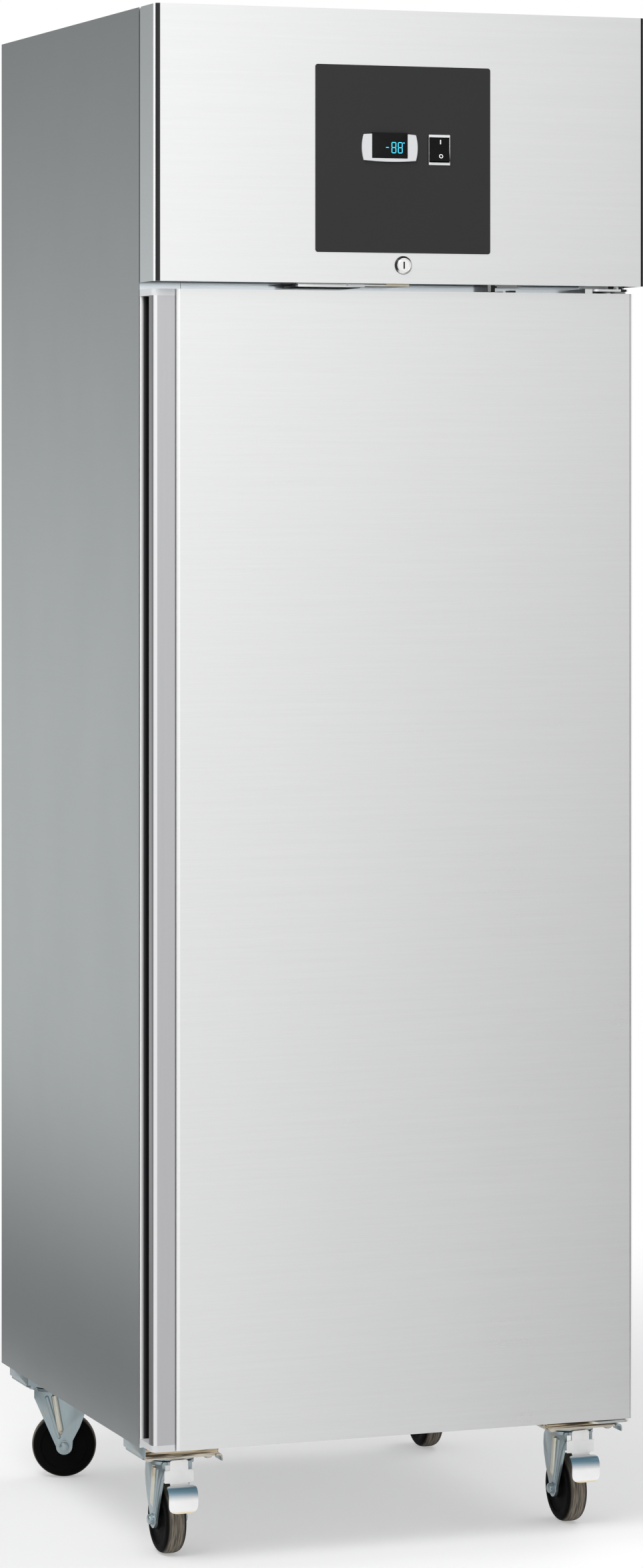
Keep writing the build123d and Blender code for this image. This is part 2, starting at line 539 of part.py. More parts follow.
def make_cabinet():
    """Outer sheets, frame, liner and insulation."""
    inside = (LEFT + SHEET, RIGHT - SHEET)
    frame = frame_pieces()
    pipes = drain(DRAIN_RADIUS), suction_line(), liquid_line()
    liner = room(SHEET) - room(0)
    bottom = block(inside, (FRAME_FACE + SHEET, BACK - SHEET), (BOTTOM, BOTTOM + SHEET))
    deck = block(inside, (FRAME_FACE + SHEET, BACK - SHEET), (DECK - SHEET, DECK))
    foam = block(inside, (FRAME_FACE + SHEET, BACK - SHEET), (BOTTOM + SHEET, DECK - SHEET))
    foam -= room(SHEET)
    for piece in frame:
        foam -= piece
    foam -= block((ROOM_LEFT, ROOM_RIGHT), (FRAME_FACE, LINER_FRONT), (ROOM_FLOOR, ROOM_CEILING))
    for pipe in pipes:
        liner -= pipe
        bottom -= pipe
        deck -= pipe
        foam -= pipe
    save("left_side_panel", side_panel(-1))
    save("right_side_panel", side_panel(1))
    save("back_panel", block(inside, (BACK - SHEET, BACK), (BOTTOM, DECK)))
    save("bottom_panel", bottom, *tray_tracks())
    save("top_deck", deck)
    save("front_frame", *frame)
    save("inner_liner", *liner_sheets(liner))
    save("foam_shell", foam)


def make_rear_grille():
    """Louvred sheet behind the machine bay, with the bush for the lead."""
    sheet = block((LEFT + SHEET, RIGHT - SHEET), (BACK - SHEET, BACK), (DECK, HEIGHT - SHEET))
    first_x = -(LOUVRE_COLUMNS - 1) / 2 * (LOUVRE_WIDTH + LOUVRE_PITCH)
    first_z = DECK + LOUVRE_FROM_DECK
    for column in range(LOUVRE_COLUMNS):
        for row in range(LOUVRE_ROWS):
            x = first_x + column * (LOUVRE_WIDTH + LOUVRE_PITCH)
            z = first_z + row * LOUVRE_PITCH
            sheet -= block((x - LOUVRE_WIDTH / 2, x + LOUVRE_WIDTH / 2), (BACK - 2 * SHEET, BACK + SHEET),
                           (z, z + LOUVRE_HEIGHT))
    inner = BACK - GLAND_LENGTH
    neck = rod((GLAND_X, inner, GLAND_Z), (GLAND_X, BACK, GLAND_Z), GLAND_NECK_RADIUS)
    sheet -= neck
    bush = neck + rod((GLAND_X, inner, GLAND_Z), (GLAND_X, BACK - SHEET, GLAND_Z), GLAND_RADIUS)
    bush -= rod((GLAND_X, inner - OVERRUN, GLAND_Z), (GLAND_X, BACK + OVERRUN, GLAND_Z), GLAND_BORE)
    save("rear_grille", sheet, bush)


# Compartment fittings
def make_shelving():
    """Slotted strips, runners and wire shelves."""
    strips = []
    for wall, inward in ((ROOM_LEFT, 1), (ROOM_RIGHT, -1)):
        for y in (UPRIGHT_FRONT_Y, UPRIGHT_BACK_Y):
            face = wall + inward * UPRIGHT_DEEP
            strip = block((wall, face), (y - UPRIGHT_WIDTH / 2, y + UPRIGHT_WIDTH / 2),
                          (UPRIGHT_BOTTOM, UPRIGHT_TOP))
            slot_y = (y - SLOT_WIDTH / 2, y + SLOT_WIDTH / 2)
            slots = int((UPRIGHT_TOP - UPRIGHT_BOTTOM) / SLOT_PITCH) - 1
            for slot in range(slots):
                z = UPRIGHT_BOTTOM + SLOT_PITCH * (slot + 1)
                strip -= block((face, face - inward * UPRIGHT_DEEP / 2), slot_y, (z, z + SLOT_HEIGHT))
            strips.append(strip)
    save("shelf_uprights", *strips)

    middle_y = (UPRIGHT_FRONT_Y + UPRIGHT_BACK_Y) / 2
    along = (middle_y - RUNNER_LENGTH / 2, middle_y + RUNNER_LENGTH / 2)
    runners = []
    for level in SHELF_LEVELS:
        for wall, inward in ((ROOM_LEFT, 1), (ROOM_RIGHT, -1)):
            face = wall + inward * UPRIGHT_DEEP
            web = block((face, face + inward * RUNNER_SHEET), along, (level, level + RUNNER_HEIGHT))
            ledge = block((face, face + inward * RUNNER_LEDGE), along, (level, level + RUNNER_SHEET))
            runners.append(web + ledge)
    save("shelf_runners", *runners)
    save("wire_shelves", *[wire_shelf(level + RUNNER_SHEET, middle_y) for level in SHELF_LEVELS])


def wire_shelf(seat, middle_y):
    """Bent rim, cross wires and a row of thinner wires from front to back."""
    half = ROOM_RIGHT - UPRIGHT_DEEP - RUNNER_SHEET - SHELF_SIDE_GAP - RIM_WIRE
    front, back = middle_y - SHELF_DEPTH / 2, middle_y + SHELF_DEPTH / 2
    z = seat + RIM_WIRE
    corners = [(-half, front, z), (half, front, z), (half, back, z), (-half, back, z)]
    path = FilletPolyline(*corners, radius=RIM_BEND, close=True)
    shelf = sweep(Plane(origin=path @ 0, z_dir=path % 0) * Circle(RIM_WIRE), path=path)
    for cross in range(CROSS_WIRES):
        y = front + (cross + 1) * SHELF_DEPTH / (CROSS_WIRES + 1)
        shelf += rod((-half, y, z), (half, y, z), RIM_WIRE - WELD / 2)
    top = z + RIM_WIRE + FILL_WIRE - WELD
    for wire in range(FILL_WIRES):
        x = -half + (wire + 1) * 2 * half / (FILL_WIRES + 1)
        shelf += rod((x, front - FILL_WIRE, top), (x, back + FILL_WIRE, top), FILL_WIRE)
    return shelf


# Air cooler
def finned_coil(space, fins, rows, columns):
    """Flat fins on one tube that goes to and fro through them, and that tube."""
    (left, right), y, z = space
    pitch = (right - left - FIN) / (fins - 1)
    plates = [block((left + fin * pitch, left + fin * pitch + FIN), y, z) for fin in range(fins)]
    route = tube_route(space, rows, columns)
    tube = bent_pipe(route, TUBE_RADIUS, [TUBE_BEND] * (len(route) - 2))
    return tube + plates, tube


def coil_end_plates(space, tube, z):
    """Plates outside the fins that carry the tube and hold the coil up."""
    left, right = space[0]
    return [block(x, space[1], z) - tube for x in ((left - END_PLATE, left), (right, right + END_PLATE))]


def blade_wheel(radius, hub_radius, depth):
    """Fan blades on a hub, turning about Z, centred at the origin."""
    wheel = Cylinder(hub_radius, depth)
    for blade in range(BLADES):
        reach = radius - hub_radius / 2
        plate = Box(reach, depth * BLADE_CHORD, BLADE_SHEET)
        plate = Pos(hub_radius / 2 + reach / 2, 0, 0) * Rot(BLADE_PITCH, 0, 0) * plate
        wheel += Rot(0, 0, blade * 360 / BLADES) * plate
    return wheel & Cylinder(radius, depth * BLADE_TRIM)


def make_air_cooler():
    """Coil, cover with its guard, motor and blades under the ceiling."""
    cover_y = (COVER_FRONT, ROOM_BACK - COVER_BACK_GAP)
    coil, tube = finned_coil(COOLER_SPACE, COOLER_FINS, COOLER_ROWS, COOLER_COLUMNS)
    hangers = coil_end_plates(COOLER_SPACE, tube, (COOLER_Z, ROOM_CEILING))
    coil_top = COOLER_SPACE[2][1]
    probe_y = COOLER_FRONT - PROBE_RADIUS
    probe = rod((0, probe_y, coil_top - PROBE_LENGTH), (0, probe_y, coil_top), PROBE_RADIUS)
    save("evaporator_coil", coil, *hangers, probe)

    cover = block((-COVER_HALF_WIDTH, COVER_HALF_WIDTH), cover_y, (COVER_BOTTOM, ROOM_CEILING))
    cover -= block((-COVER_HALF_WIDTH + SHEET, COVER_HALF_WIDTH - SHEET),
                   (cover_y[0] + SHEET, cover_y[1] - SHEET), (COVER_BOTTOM + SHEET, ROOM_CEILING + SHEET))
    hole = COOLER_FAN_RADIUS + COOLER_RING_GAP
    cover -= rod((0, COOLER_FAN_Y, COVER_BOTTOM - OVERRUN),
                 (0, COOLER_FAN_Y, COVER_BOTTOM + SHEET + OVERRUN), hole)
    mouth = drain_path()[0]
    cover -= rod((mouth[0], mouth[1], COVER_BOTTOM - OVERRUN),
                 (mouth[0], mouth[1], COVER_BOTTOM + SHEET + OVERRUN), DRAIN_BORE)
    middle_z = COVER_BOTTOM + COVER_HEIGHT / 2
    slot_z = (middle_z - COVER_SLOT_HEIGHT / 2, middle_z + COVER_SLOT_HEIGHT / 2)
    for side in (-1, 1):
        for slot in range(COVER_SLOTS):
            x = side * (COVER_HALF_WIDTH - COVER_SLOT_INSET - slot * COVER_SLOT_PITCH)
            cover -= block((x - COVER_SLOT_WIDTH / 2, x + COVER_SLOT_WIDTH / 2),
                           (COVER_FRONT - OVERRUN, COVER_FRONT + SHEET + OVERRUN), slot_z)
    spoke_z = COVER_BOTTOM - 2 * GUARD_WIRE
    ring_z = spoke_z - GUARD_CROSSING
    foot_reach = hole + GUARD_FOOT_OUT
    guard = []
    for spoke in range(GUARD_SPOKES):
        turn = radians(180 * spoke / GUARD_SPOKES + GUARD_TURN)
        dx, dy = foot_reach * cos(turn), foot_reach * sin(turn)
        guard.append(rod((-dx, COOLER_FAN_Y - dy, spoke_z), (dx, COOLER_FAN_Y + dy, spoke_z), GUARD_WIRE))
        for side in (-1, 1):
            x, y = side * dx, COOLER_FAN_Y + side * dy
            guard.append(rod((x, y, spoke_z - 2 * GUARD_WIRE), (x, y, COVER_BOTTOM), GUARD_FOOT_RADIUS))
    rings = [Pos(0, COOLER_FAN_Y, ring_z) * Torus(hole * ring, GUARD_WIRE) for ring in GUARD_RINGS]
    guard = rings[0] + rings[1:] + guard
    save("evaporator_cover", cover, guard)

    swept = COOLER_BLADE_DEPTH * BLADE_TRIM / 2
    blade_z = COVER_BOTTOM + SHEET + BLADE_CLEAR + swept
    motor_bottom = blade_z + swept + MOTOR_CLEAR
    motor = Pos(0, COOLER_FAN_Y, motor_bottom + MOTOR_HEIGHT / 2) * Cylinder(MOTOR_RADIUS, MOTOR_HEIGHT)
    motor = fillet(motor.edges().filter_by(GeomType.CIRCLE), MOTOR_ROUND)
    arm_z = motor_bottom + COOLER_ARM_ABOVE
    reach = hole + COOLER_ARM_REACH
    for arm in range(COOLER_ARMS):
        turn = Pos(0, COOLER_FAN_Y, 0) * Rot(0, 0, 90 + arm * 360 / COOLER_ARMS)
        motor += turn * Pos(reach / 2, 0, arm_z + ARM / 2) * Box(reach, ARM_WIDTH, ARM)
        post = Box(ARM, ARM_WIDTH, arm_z + ARM - COVER_BOTTOM - SHEET,
                   align=(Align.CENTER, Align.CENTER, Align.MIN))
        motor += turn * Pos(reach, 0, COVER_BOTTOM + SHEET) * post
    shaft_top = motor_bottom + MOTOR_HEIGHT * SHAFT_SHARE
    bore = SHAFT_RADIUS + RUNNING_FIT
    motor -= rod((0, COOLER_FAN_Y, motor_bottom - OVERRUN), (0, COOLER_FAN_Y, shaft_top + OVERRUN), bore)
    save("evaporator_fan_motor", motor)
    wheel = blade_wheel(COOLER_FAN_RADIUS, COOLER_HUB_RADIUS, COOLER_BLADE_DEPTH)
    blades = Pos(0, COOLER_FAN_Y, blade_z) * wheel
    blades += rod((0, COOLER_FAN_Y, blade_z), (0, COOLER_FAN_Y, shaft_top), SHAFT_RADIUS)
    save("evaporator_fan_blade", blades)


def tray_limits():
    """Height limits of the condensate tray."""
    top = BOTTOM - TRAY_BELOW
    return top - TRAY_HEIGHT, top


def tray_tracks():
    """Two channels under the cabinet that the tray's lips slide in."""
    top = tray_limits()[1]
    along = (TRAY_FRONT, BACK - TRAY_BACK_GAP)
    tracks = []
    for side in (-1, 1):
        wall_in = side * (TRAY_HALF_WIDTH + TRAY_LIP + TRACK_CLEAR)
        wall_out = wall_in + side * TRACK_SHEET
        ledge_tip = side * (TRAY_HALF_WIDTH + TRACK_CLEAR)
        track = block((wall_in, wall_out), along, (top - TRAY_SHEET - TRACK_HEM - TRACK_SHEET, BOTTOM))
        track += block((wall_out, ledge_tip), along,
                       (top - TRAY_SHEET - CONTACT_GAP - TRACK_SHEET, top - TRAY_SHEET - CONTACT_GAP))
        tracks.append(track)
    return tracks


def make_drain():
    """Drain tube and the tray under the cabinet."""
    save("drain_pipe", drain(DRAIN_RADIUS) - drain(DRAIN_BORE))
    low, top = tray_limits()
    along = (TRAY_FRONT, BACK - TRAY_BACK_GAP)
    tray = block((-TRAY_HALF_WIDTH, TRAY_HALF_WIDTH), along, (low, top))
    tray = rounded_along(tray, Axis.Z, TRAY_CORNER)
    hollow = block((-TRAY_HALF_WIDTH + TRAY_SHEET, TRAY_HALF_WIDTH - TRAY_SHEET),
                   (along[0] + TRAY_SHEET, along[1] - TRAY_SHEET), (low + TRAY_SHEET, top + OVERRUN))
    tray -= rounded_along(hollow, Axis.Z, TRAY_CORNER - TRAY_SHEET)
    for side in (-1, 1):
        lip = (side * (TRAY_HALF_WIDTH - TRAY_SHEET / 2), side * (TRAY_HALF_WIDTH + TRAY_LIP))
        tray += block(lip, (along[0] + TRAY_LIP_INSET, along[1] - TRAY_LIP_INSET), (top - TRAY_SHEET, top))
    save("condensate_tray", tray)


# Machine bay
def make_condenser():
    """Condenser, its shroud, motor and blades."""
    x, _, z = CONDENSER_SPACE
    coil, tube = finned_coil(CONDENSER_SPACE, CONDENSER_FINS, CONDENSER_ROWS, CONDENSER_COLUMNS)
    save("condenser_coil", coil, *coil_end_plates(CONDENSER_SPACE, tube, (DECK, z[1])))

    front = CONDENSER_FRONT - SHROUD_DEEP
    shroud = block(x, (front, CONDENSER_FRONT), z)
    shroud -= block((x[0] + SHEET, x[1] - SHEET), (front + SHEET, CONDENSER_FRONT + OVERRUN),
                    (z[0] + SHEET, z[1] - SHEET))
    middle = ((x[0] + x[1]) / 2, (z[0] + z[1]) / 2)
    hole = CONDENSER_FAN_RADIUS + CONDENSER_RING_GAP
    ring_back = CONDENSER_FRONT - RING_FROM_COIL
    shroud += rod((middle[0], front, middle[1]), (middle[0], ring_back, middle[1]), hole + SHEET)
    shroud -= rod((middle[0], front - OVERRUN, middle[1]), (middle[0], ring_back + OVERRUN, middle[1]), hole)
    for foot_x in x:
        inward = 1 if foot_x == x[0] else -1
        shroud += block((foot_x, foot_x + inward * SHROUD_FOOT), (front, front + SHEET), (DECK, z[0] + SHEET))
    save("condenser_shroud", shroud)

    turn = Pos(middle[0], 0, middle[1]) * Rot(90, 0, 0)
    blade_y = front + SHROUD_DEEP / 2
    motor_back = blade_y - CONDENSER_BLADE_DEPTH * BLADE_TRIM / 2 - MOTOR_CLEAR
    motor_front = motor_back - BAY_MOTOR_LENGTH
    motor = rod((middle[0], motor_front, middle[1]), (middle[0], motor_back, middle[1]), BAY_MOTOR_RADIUS)
    motor = fillet(motor.edges().filter_by(GeomType.CIRCLE), BAY_MOTOR_ROUND)
    reach = hole + CONDENSER_ARM_REACH
    for arm in range(CONDENSER_ARMS):
        spread = Pos(middle[0], front - ARM / 2, middle[1]) * Rot(0, -(arm + 0.5) * 360 / CONDENSER_ARMS, 0)
        motor += spread * Pos(reach / 2, 0, 0) * Box(reach, ARM, ARM_WIDTH)
    shaft_front = motor_back - BAY_MOTOR_LENGTH * SHAFT_SHARE
    bore = SHAFT_RADIUS + RUNNING_FIT
    motor -= rod((middle[0], shaft_front - OVERRUN, middle[1]),
                 (middle[0], motor_back + OVERRUN, middle[1]), bore)
    save("condenser_fan_motor", motor)
    wheel = blade_wheel(CONDENSER_FAN_RADIUS, CONDENSER_HUB_RADIUS, CONDENSER_BLADE_DEPTH)
    blades = Pos(0, blade_y, 0) * turn * wheel
    blades += rod((middle[0], shaft_front, middle[1]), (middle[0], blade_y, middle[1]), SHAFT_RADIUS)
    save("condenser_fan_blade", blades)


def make_compressor():
    """Sealed shell on a base, rubber feet and terminal cover."""
    base_z = DECK + GROMMET_HEIGHT
    place = Pos(COMPRESSOR_X, COMPRESSOR_Y, 0)
    base = place * Pos(0, 0, base_z + BASE_SHEET / 2) * Box(BASE_X, BASE_Y, BASE_SHEET)
    base = rounded_along(base, Axis.Z, BASE_CORNER)
    shell_z = base_z + BASE_SHEET
    shell = place * Pos(0, 0, shell_z + SHELL_HEIGHT / 2) * Cylinder(SHELL_RADIUS, SHELL_HEIGHT)
    shell = fillet(shell.edges().filter_by(GeomType.CIRCLE), SHELL_ROUND)
    seam = place * Pos(0, 0, shell_z + SHELL_HEIGHT * SEAM_SHARE) * Cylinder(SHELL_RADIUS + SEAM_PROUD, SEAM)
    shell += seam
    shell += base
    shell -= suction_line()
    shell -= discharge_line()
    feet = []
    for side_x in (-1, 1):
        for side_y in (-1, 1):
            x = COMPRESSOR_X + side_x * (BASE_X / 2 - GROMMET_INSET)
            y = COMPRESSOR_Y + side_y * (BASE_Y / 2 - GROMMET_INSET)
            feet.append(rod((x, y, DECK), (x, y, base_z), GROMMET_RADIUS))
    front = COMPRESSOR_Y - SHELL_RADIUS
    cover = block((COMPRESSOR_X - TERMINAL_WIDTH / 2, COMPRESSOR_X + TERMINAL_WIDTH / 2),
                  (front - TERMINAL_DEEP / 2, front + TERMINAL_DEEP / 2),
                  (shell_z + TERMINAL_ABOVE, shell_z + TERMINAL_ABOVE + TERMINAL_HEIGHT))
    cover = rounded_along(cover, Axis.Z, TERMINAL_CORNER) - shell
    save("compressor", shell, cover, *feet)


def discharge_line():
    """Line from the compressor to the top of the condenser."""
    end = tube_route(CONDENSER_SPACE, CONDENSER_ROWS, CONDENSER_COLUMNS)[-1]
    x = CONDENSER_RIGHT + DISCHARGE_ASIDE
    y = COMPRESSOR_Y - DISCHARGE_SHIFT
    low = DECK + GROMMET_HEIGHT + SHELL_HEIGHT * DISCHARGE_SHARE
    start_x = COMPRESSOR_X - SHELL_RADIUS + DISCHARGE_PORT_DEEP
    route = [(start_x, y, low), (x, y, low), (x, y, end[2]), (x, end[1], end[2]), end]
    return bent_pipe(route, DISCHARGE_RADIUS, DISCHARGE_BENDS)


def outlet_line():
    """Line from the foot of the condenser to the drier."""
    start = tube_route(CONDENSER_SPACE, CONDENSER_ROWS, CONDENSER_COLUMNS)[0]
    end = drier_end(0)
    return bent_pipe([start, (end[0], start[1], end[2]), end], LIQUID_RADIUS, OUTLET_BENDS)


def make_pipes():
    """Copper lines and the filter drier between them."""
    save("refrigerant_pipes", discharge_line(), suction_line(), outlet_line(), liquid_line())
    start, end = drier_end(0), drier_end(1)
    middle = (start[0], start[1] - DRIER_NECK, start[2]), (end[0], end[1] + DRIER_NECK, end[2])
    drier = fillet(rod(*middle, DRIER_RADIUS).edges().filter_by(GeomType.CIRCLE), DRIER_ROUND)
    drier += rod(start, end, LIQUID_RADIUS + DRIER_NECK_WALL)
    save("filter_drier", drier)


def make_electrical_box():
    """Box for the terminals and relays, with a lid."""
    x = (BOX_LEFT, BOX_LEFT + BOX_WIDTH)
    y = (BOX_FRONT, BOX_FRONT + BOX_DEEP)
    case = rounded_along(block(x, y, (DECK, DECK + BOX_HEIGHT)), Axis.Z, BOX_CORNER)
    lid = block((x[0] - LID_OVERHANG, x[1] + LID_OVERHANG), (y[0] - LID_OVERHANG, y[1] + LID_OVERHANG),
                (DECK + BOX_HEIGHT, DECK + BOX_HEIGHT + BOX_LID))
    lid = rounded_along(lid, Axis.Z, BOX_CORNER + LID_OVERHANG)
    save("electrical_box", case, lid)


# Hood with its controls
def box_opening(x, z, width, height, front, back):
    """Cut through the hood's face, centred at a place."""
    return block((x - width / 2, x + width / 2), (front, back), (z - height / 2, z + height / 2))


def hood_openings():
    """Cuts for the controller, the rocker and the lock."""
    front, back = HOOD_FACE - CONTROLS_PROUD, HOOD_FACE + 2 * SHEET
    return (box_opening(CONTROLLER_X, CONTROLLER_Z, CONTROLLER_WIDTH, CONTROLLER_HEIGHT, front, back),
            box_opening(ROCKER_X, ROCKER_Z, ROCKER_WIDTH + 2 * ROCKER_SIDE_GAP + 2 * ROCKER_FRAME,
                        ROCKER_HEIGHT + 2 * ROCKER_END_GAP + 2 * ROCKER_FRAME, front, back),
            rod((CONTROL_X, front, LOCK_Z), (CONTROL_X, back, LOCK_Z), LOCK_RADIUS))


def make_hood():
    """Folded hood, rounded at its rear top corners so that it clears the cabinet as it lifts."""
    height = (HOOD_BOTTOM, HEIGHT)
    hood = front_rounded(block((LEFT, RIGHT), (HOOD_FACE, HOOD_REAR), height), HOOD_BEND)
    inner = block((LEFT + SHEET, RIGHT - SHEET), (HOOD_FACE + SHEET, HOOD_REAR + OVERRUN), height)
    hood -= front_rounded(inner, HOOD_BEND - SHEET)
    hood += front_rounded(block((LEFT + SHEET / 2, RIGHT - SHEET / 2),
                                (HOOD_FACE + SHEET / 2, HOOD_PIVOT_Y - HOOD_TOP_SHORT),
                                (HEIGHT - SHEET, HEIGHT)), HOOD_BEND - SHEET / 2)
    hood += front_rounded(block((LEFT + SHEET / 2, RIGHT - SHEET / 2),
                                (HOOD_FACE + SHEET / 2, HOOD_FACE + HOOD_BOTTOM_FLANGE),
                                (HOOD_BOTTOM, HOOD_BOTTOM + SHEET)), HOOD_BEND - SHEET / 2)
    corner = block((LEFT - OVERRUN, RIGHT + OVERRUN), (HOOD_PIVOT_Y, HOOD_REAR + OVERRUN),
                   (HOOD_PIVOT_Z, HEIGHT + OVERRUN))
    corner -= cross_rod((LEFT - 2 * OVERRUN, RIGHT + 2 * OVERRUN), HOOD_PIVOT_Y, HOOD_PIVOT_Z,
                        HOOD_PIVOT_BACK - HOOD_FRAME_GAP / 2)
    hood -= corner
    for side in (-1, 1):
        inner_face = side * (WIDTH / 2 - SHEET)
        hood += cross_rod((inner_face, inner_face - side * HOOD_BOSS), HOOD_PIVOT_Y, HOOD_PIVOT_Z,
                          HOOD_BOSS_RADIUS)
        hood -= cross_rod((inner_face - side * (HOOD_BOSS + OVERRUN), inner_face + side * SHEET / 2),
                          HOOD_PIVOT_Y, HOOD_PIVOT_Z, HOOD_PIN_RADIUS + RUNNING_FIT)
    for opening in hood_openings():
        hood -= opening
    save("hood_panel", hood)

    pins = []
    for side in (-1, 1):
        ear_out = side * (WIDTH / 2 - HOOD_EAR_INSET)
        ear_in = ear_out - side * HOOD_EAR
        tip = side * (WIDTH / 2 - SHEET + SHEET / 4)
        foot_top = HOOD_PIVOT_Z - HOOD_FOOT_DROP
        ear = cross_rod((ear_in, ear_out), HOOD_PIVOT_Y, HOOD_PIVOT_Z, HOOD_EAR_RADIUS)
        ear += block((ear_in, ear_out), (HOOD_PIVOT_Y - HOOD_EAR_RADIUS, FRAME_FACE),
                     (HOOD_PIVOT_Z - HOOD_FOOT_HEIGHT, foot_top))
        ear += block((ear_out, ear_out - side * PANEL_FLANGE), (FRAME_FACE - HOOD_FOOT, FRAME_FACE),
                     (HOOD_PIVOT_Z - HOOD_FOOT_HEIGHT, foot_top))
        ear += cross_rod((ear_in, tip), HOOD_PIVOT_Y, HOOD_PIVOT_Z, HOOD_PIN_RADIUS)
        pins.append(ear)
    save("hood_hinge_pins", *pins)


def make_control_plate():
    """Black plate, controller and bezel."""
    back = HOOD_FACE
    front = HOOD_FACE - PLATE_SHEET
    plate = block((CONTROL_X - PLATE_SIDE / 2, CONTROL_X + PLATE_SIDE / 2), (front, back),
                  (PLATE_BOTTOM, PLATE_BOTTOM + PLATE_SIDE))
    plate = rounded_along(plate, Axis.Y, PLATE_CORNER)
    for opening in hood_openings():
        plate -= opening
    save("control_plate", plate)

    bezel_front = HOOD_FACE - CONTROLS_PROUD
    bezel = box_opening(CONTROLLER_X, CONTROLLER_Z, BEZEL_WIDTH, BEZEL_HEIGHT, bezel_front, front)
    bezel = rounded_along(bezel, Axis.Y, BEZEL_CORNER)
    bezel = fillet(bezel.faces().sort_by(Axis.Y)[0].edges(), BEZEL_ROUND)
    bezel -= box_opening(CONTROLLER_X, CONTROLLER_Z, WINDOW_WIDTH, WINDOW_HEIGHT,
                         bezel_front - OVERRUN, front + OVERRUN)
    save("controller_bezel", bezel)
    window = box_opening(CONTROLLER_X, CONTROLLER_Z, WINDOW_WIDTH, WINDOW_HEIGHT,
                         bezel_front + WINDOW_BACK, front)
    body = box_opening(CONTROLLER_X, CONTROLLER_Z, CONTROLLER_WIDTH, CONTROLLER_HEIGHT, front,
                       HOOD_FACE + CONTROLLER_DEEP)
    save("controller", window, body)


def make_rocker():
    """Switch frame with its case, and the rocker, tilted so that its top is pressed in."""
    plate = HOOD_FACE - PLATE_SHEET
    well_width = ROCKER_WIDTH + 2 * ROCKER_SIDE_GAP
    well_height = ROCKER_HEIGHT + 2 * ROCKER_END_GAP
    frame = rounded_along(box_opening(ROCKER_X, ROCKER_Z, ROCKER_FRAME_WIDTH, ROCKER_FRAME_HEIGHT,
                                      plate - ROCKER_FRAME, plate), Axis.Y, ROCKER_FRAME_CORNER)
    frame += box_opening(ROCKER_X, ROCKER_Z, well_width + 2 * ROCKER_FRAME, well_height + 2 * ROCKER_FRAME,
                         plate, HOOD_FACE + ROCKER_CASE_DEEP)
    floor = HOOD_FACE + ROCKER_CASE_DEEP - 2 * ROCKER_FRAME
    frame -= box_opening(ROCKER_X, ROCKER_Z, well_width, well_height, plate - 2 * ROCKER_FRAME, floor)
    pivot_y = HOOD_FACE + ROCKER_PIVOT_DEEP
    half = well_width / 2 + ROCKER_FRAME
    frame += cross_rod((ROCKER_X - half, ROCKER_X + half), pivot_y, ROCKER_Z, ROCKER_PIN_RADIUS)
    save("rocker_frame", frame)

    reach = ROCKER_HEIGHT / 2
    middle = ROCKER_PIVOT_DEEP + ROCKER_PROUD
    rise = reach * tan(radians(ROCKER_TILT))
    outline = [(-middle, 0), (-middle - rise, reach), (0, reach), (ROCKER_WEDGE, ROCKER_WEDGE_HALF),
               (ROCKER_WEDGE, -ROCKER_WEDGE_HALF), (0, -reach),
               (-middle - rise, -reach)]
    side = Plane(origin=(ROCKER_X - ROCKER_WIDTH / 2, 0, 0), x_dir=(0, 1, 0), z_dir=(1, 0, 0))
    rocker = prism(outline, side, ROCKER_WIDTH)
    rocker -= cross_rod((ROCKER_X - ROCKER_WIDTH, ROCKER_X + ROCKER_WIDTH), 0, 0,
                        ROCKER_PIN_RADIUS + RUNNING_FIT)
    tilt = Pos(0, pivot_y, ROCKER_Z) * Rot(-ROCKER_TILT, 0, 0)
    save("rocker_button", tilt * rocker)


def lock_rod(front, back, radius):
    """Round bar on the lock's axis, between two depths from the hood's face."""
    return rod((CONTROL_X, HOOD_FACE + front, LOCK_Z), (CONTROL_X, HOOD_FACE + back, LOCK_Z), radius)


def make_lock():
    """Lock in the hood, and its core with the cam level, which leaves the hood free."""
    barrel = lock_rod(-LOCK_FLANGE, 0, LOCK_FLANGE_RADIUS)
    barrel = fillet(barrel.edges().filter_by(GeomType.CIRCLE).sort_by(Axis.Y)[0], LOCK_ROUND)
    barrel += lock_rod(0, LOCK_DEEP, LOCK_RADIUS)
    core_front = -LOCK_FLANGE + CORE_BACK
    barrel -= lock_rod(-LOCK_FLANGE - OVERRUN, LOCK_DEEP + OVERRUN, CORE_RADIUS + RUNNING_FIT)
    nut = lock_rod(SHEET, SHEET + LOCK_NUT, LOCK_NUT_RADIUS) - lock_rod(0, LOCK_DEEP, LOCK_RADIUS)
    save("lock_barrel", barrel, nut)
    core = lock_rod(core_front, LOCK_DEEP + CONTACT_GAP, CORE_RADIUS)
    core -= block((CONTROL_X - KEY_WIDTH / 2, CONTROL_X + KEY_WIDTH / 2),
                  (HOOD_FACE + core_front - OVERRUN, HOOD_FACE + core_front + KEY_DEEP),
                  (LOCK_Z - KEY_HEIGHT / 2, LOCK_Z + KEY_HEIGHT / 2))
    cam_y = (HOOD_FACE + LOCK_DEEP + CONTACT_GAP, HOOD_FACE + LOCK_DEEP + CONTACT_GAP + CAM)
    core += block((CONTROL_X, CONTROL_X + CAM_REACH), cam_y, (LOCK_Z - CAM_WIDTH / 2, LOCK_Z + CAM_WIDTH / 2))
    core += rod((CONTROL_X, cam_y[0], LOCK_Z), (CONTROL_X, cam_y[1], LOCK_Z), CORE_RADIUS + CAM_BOSS)
    save("lock_core", core)


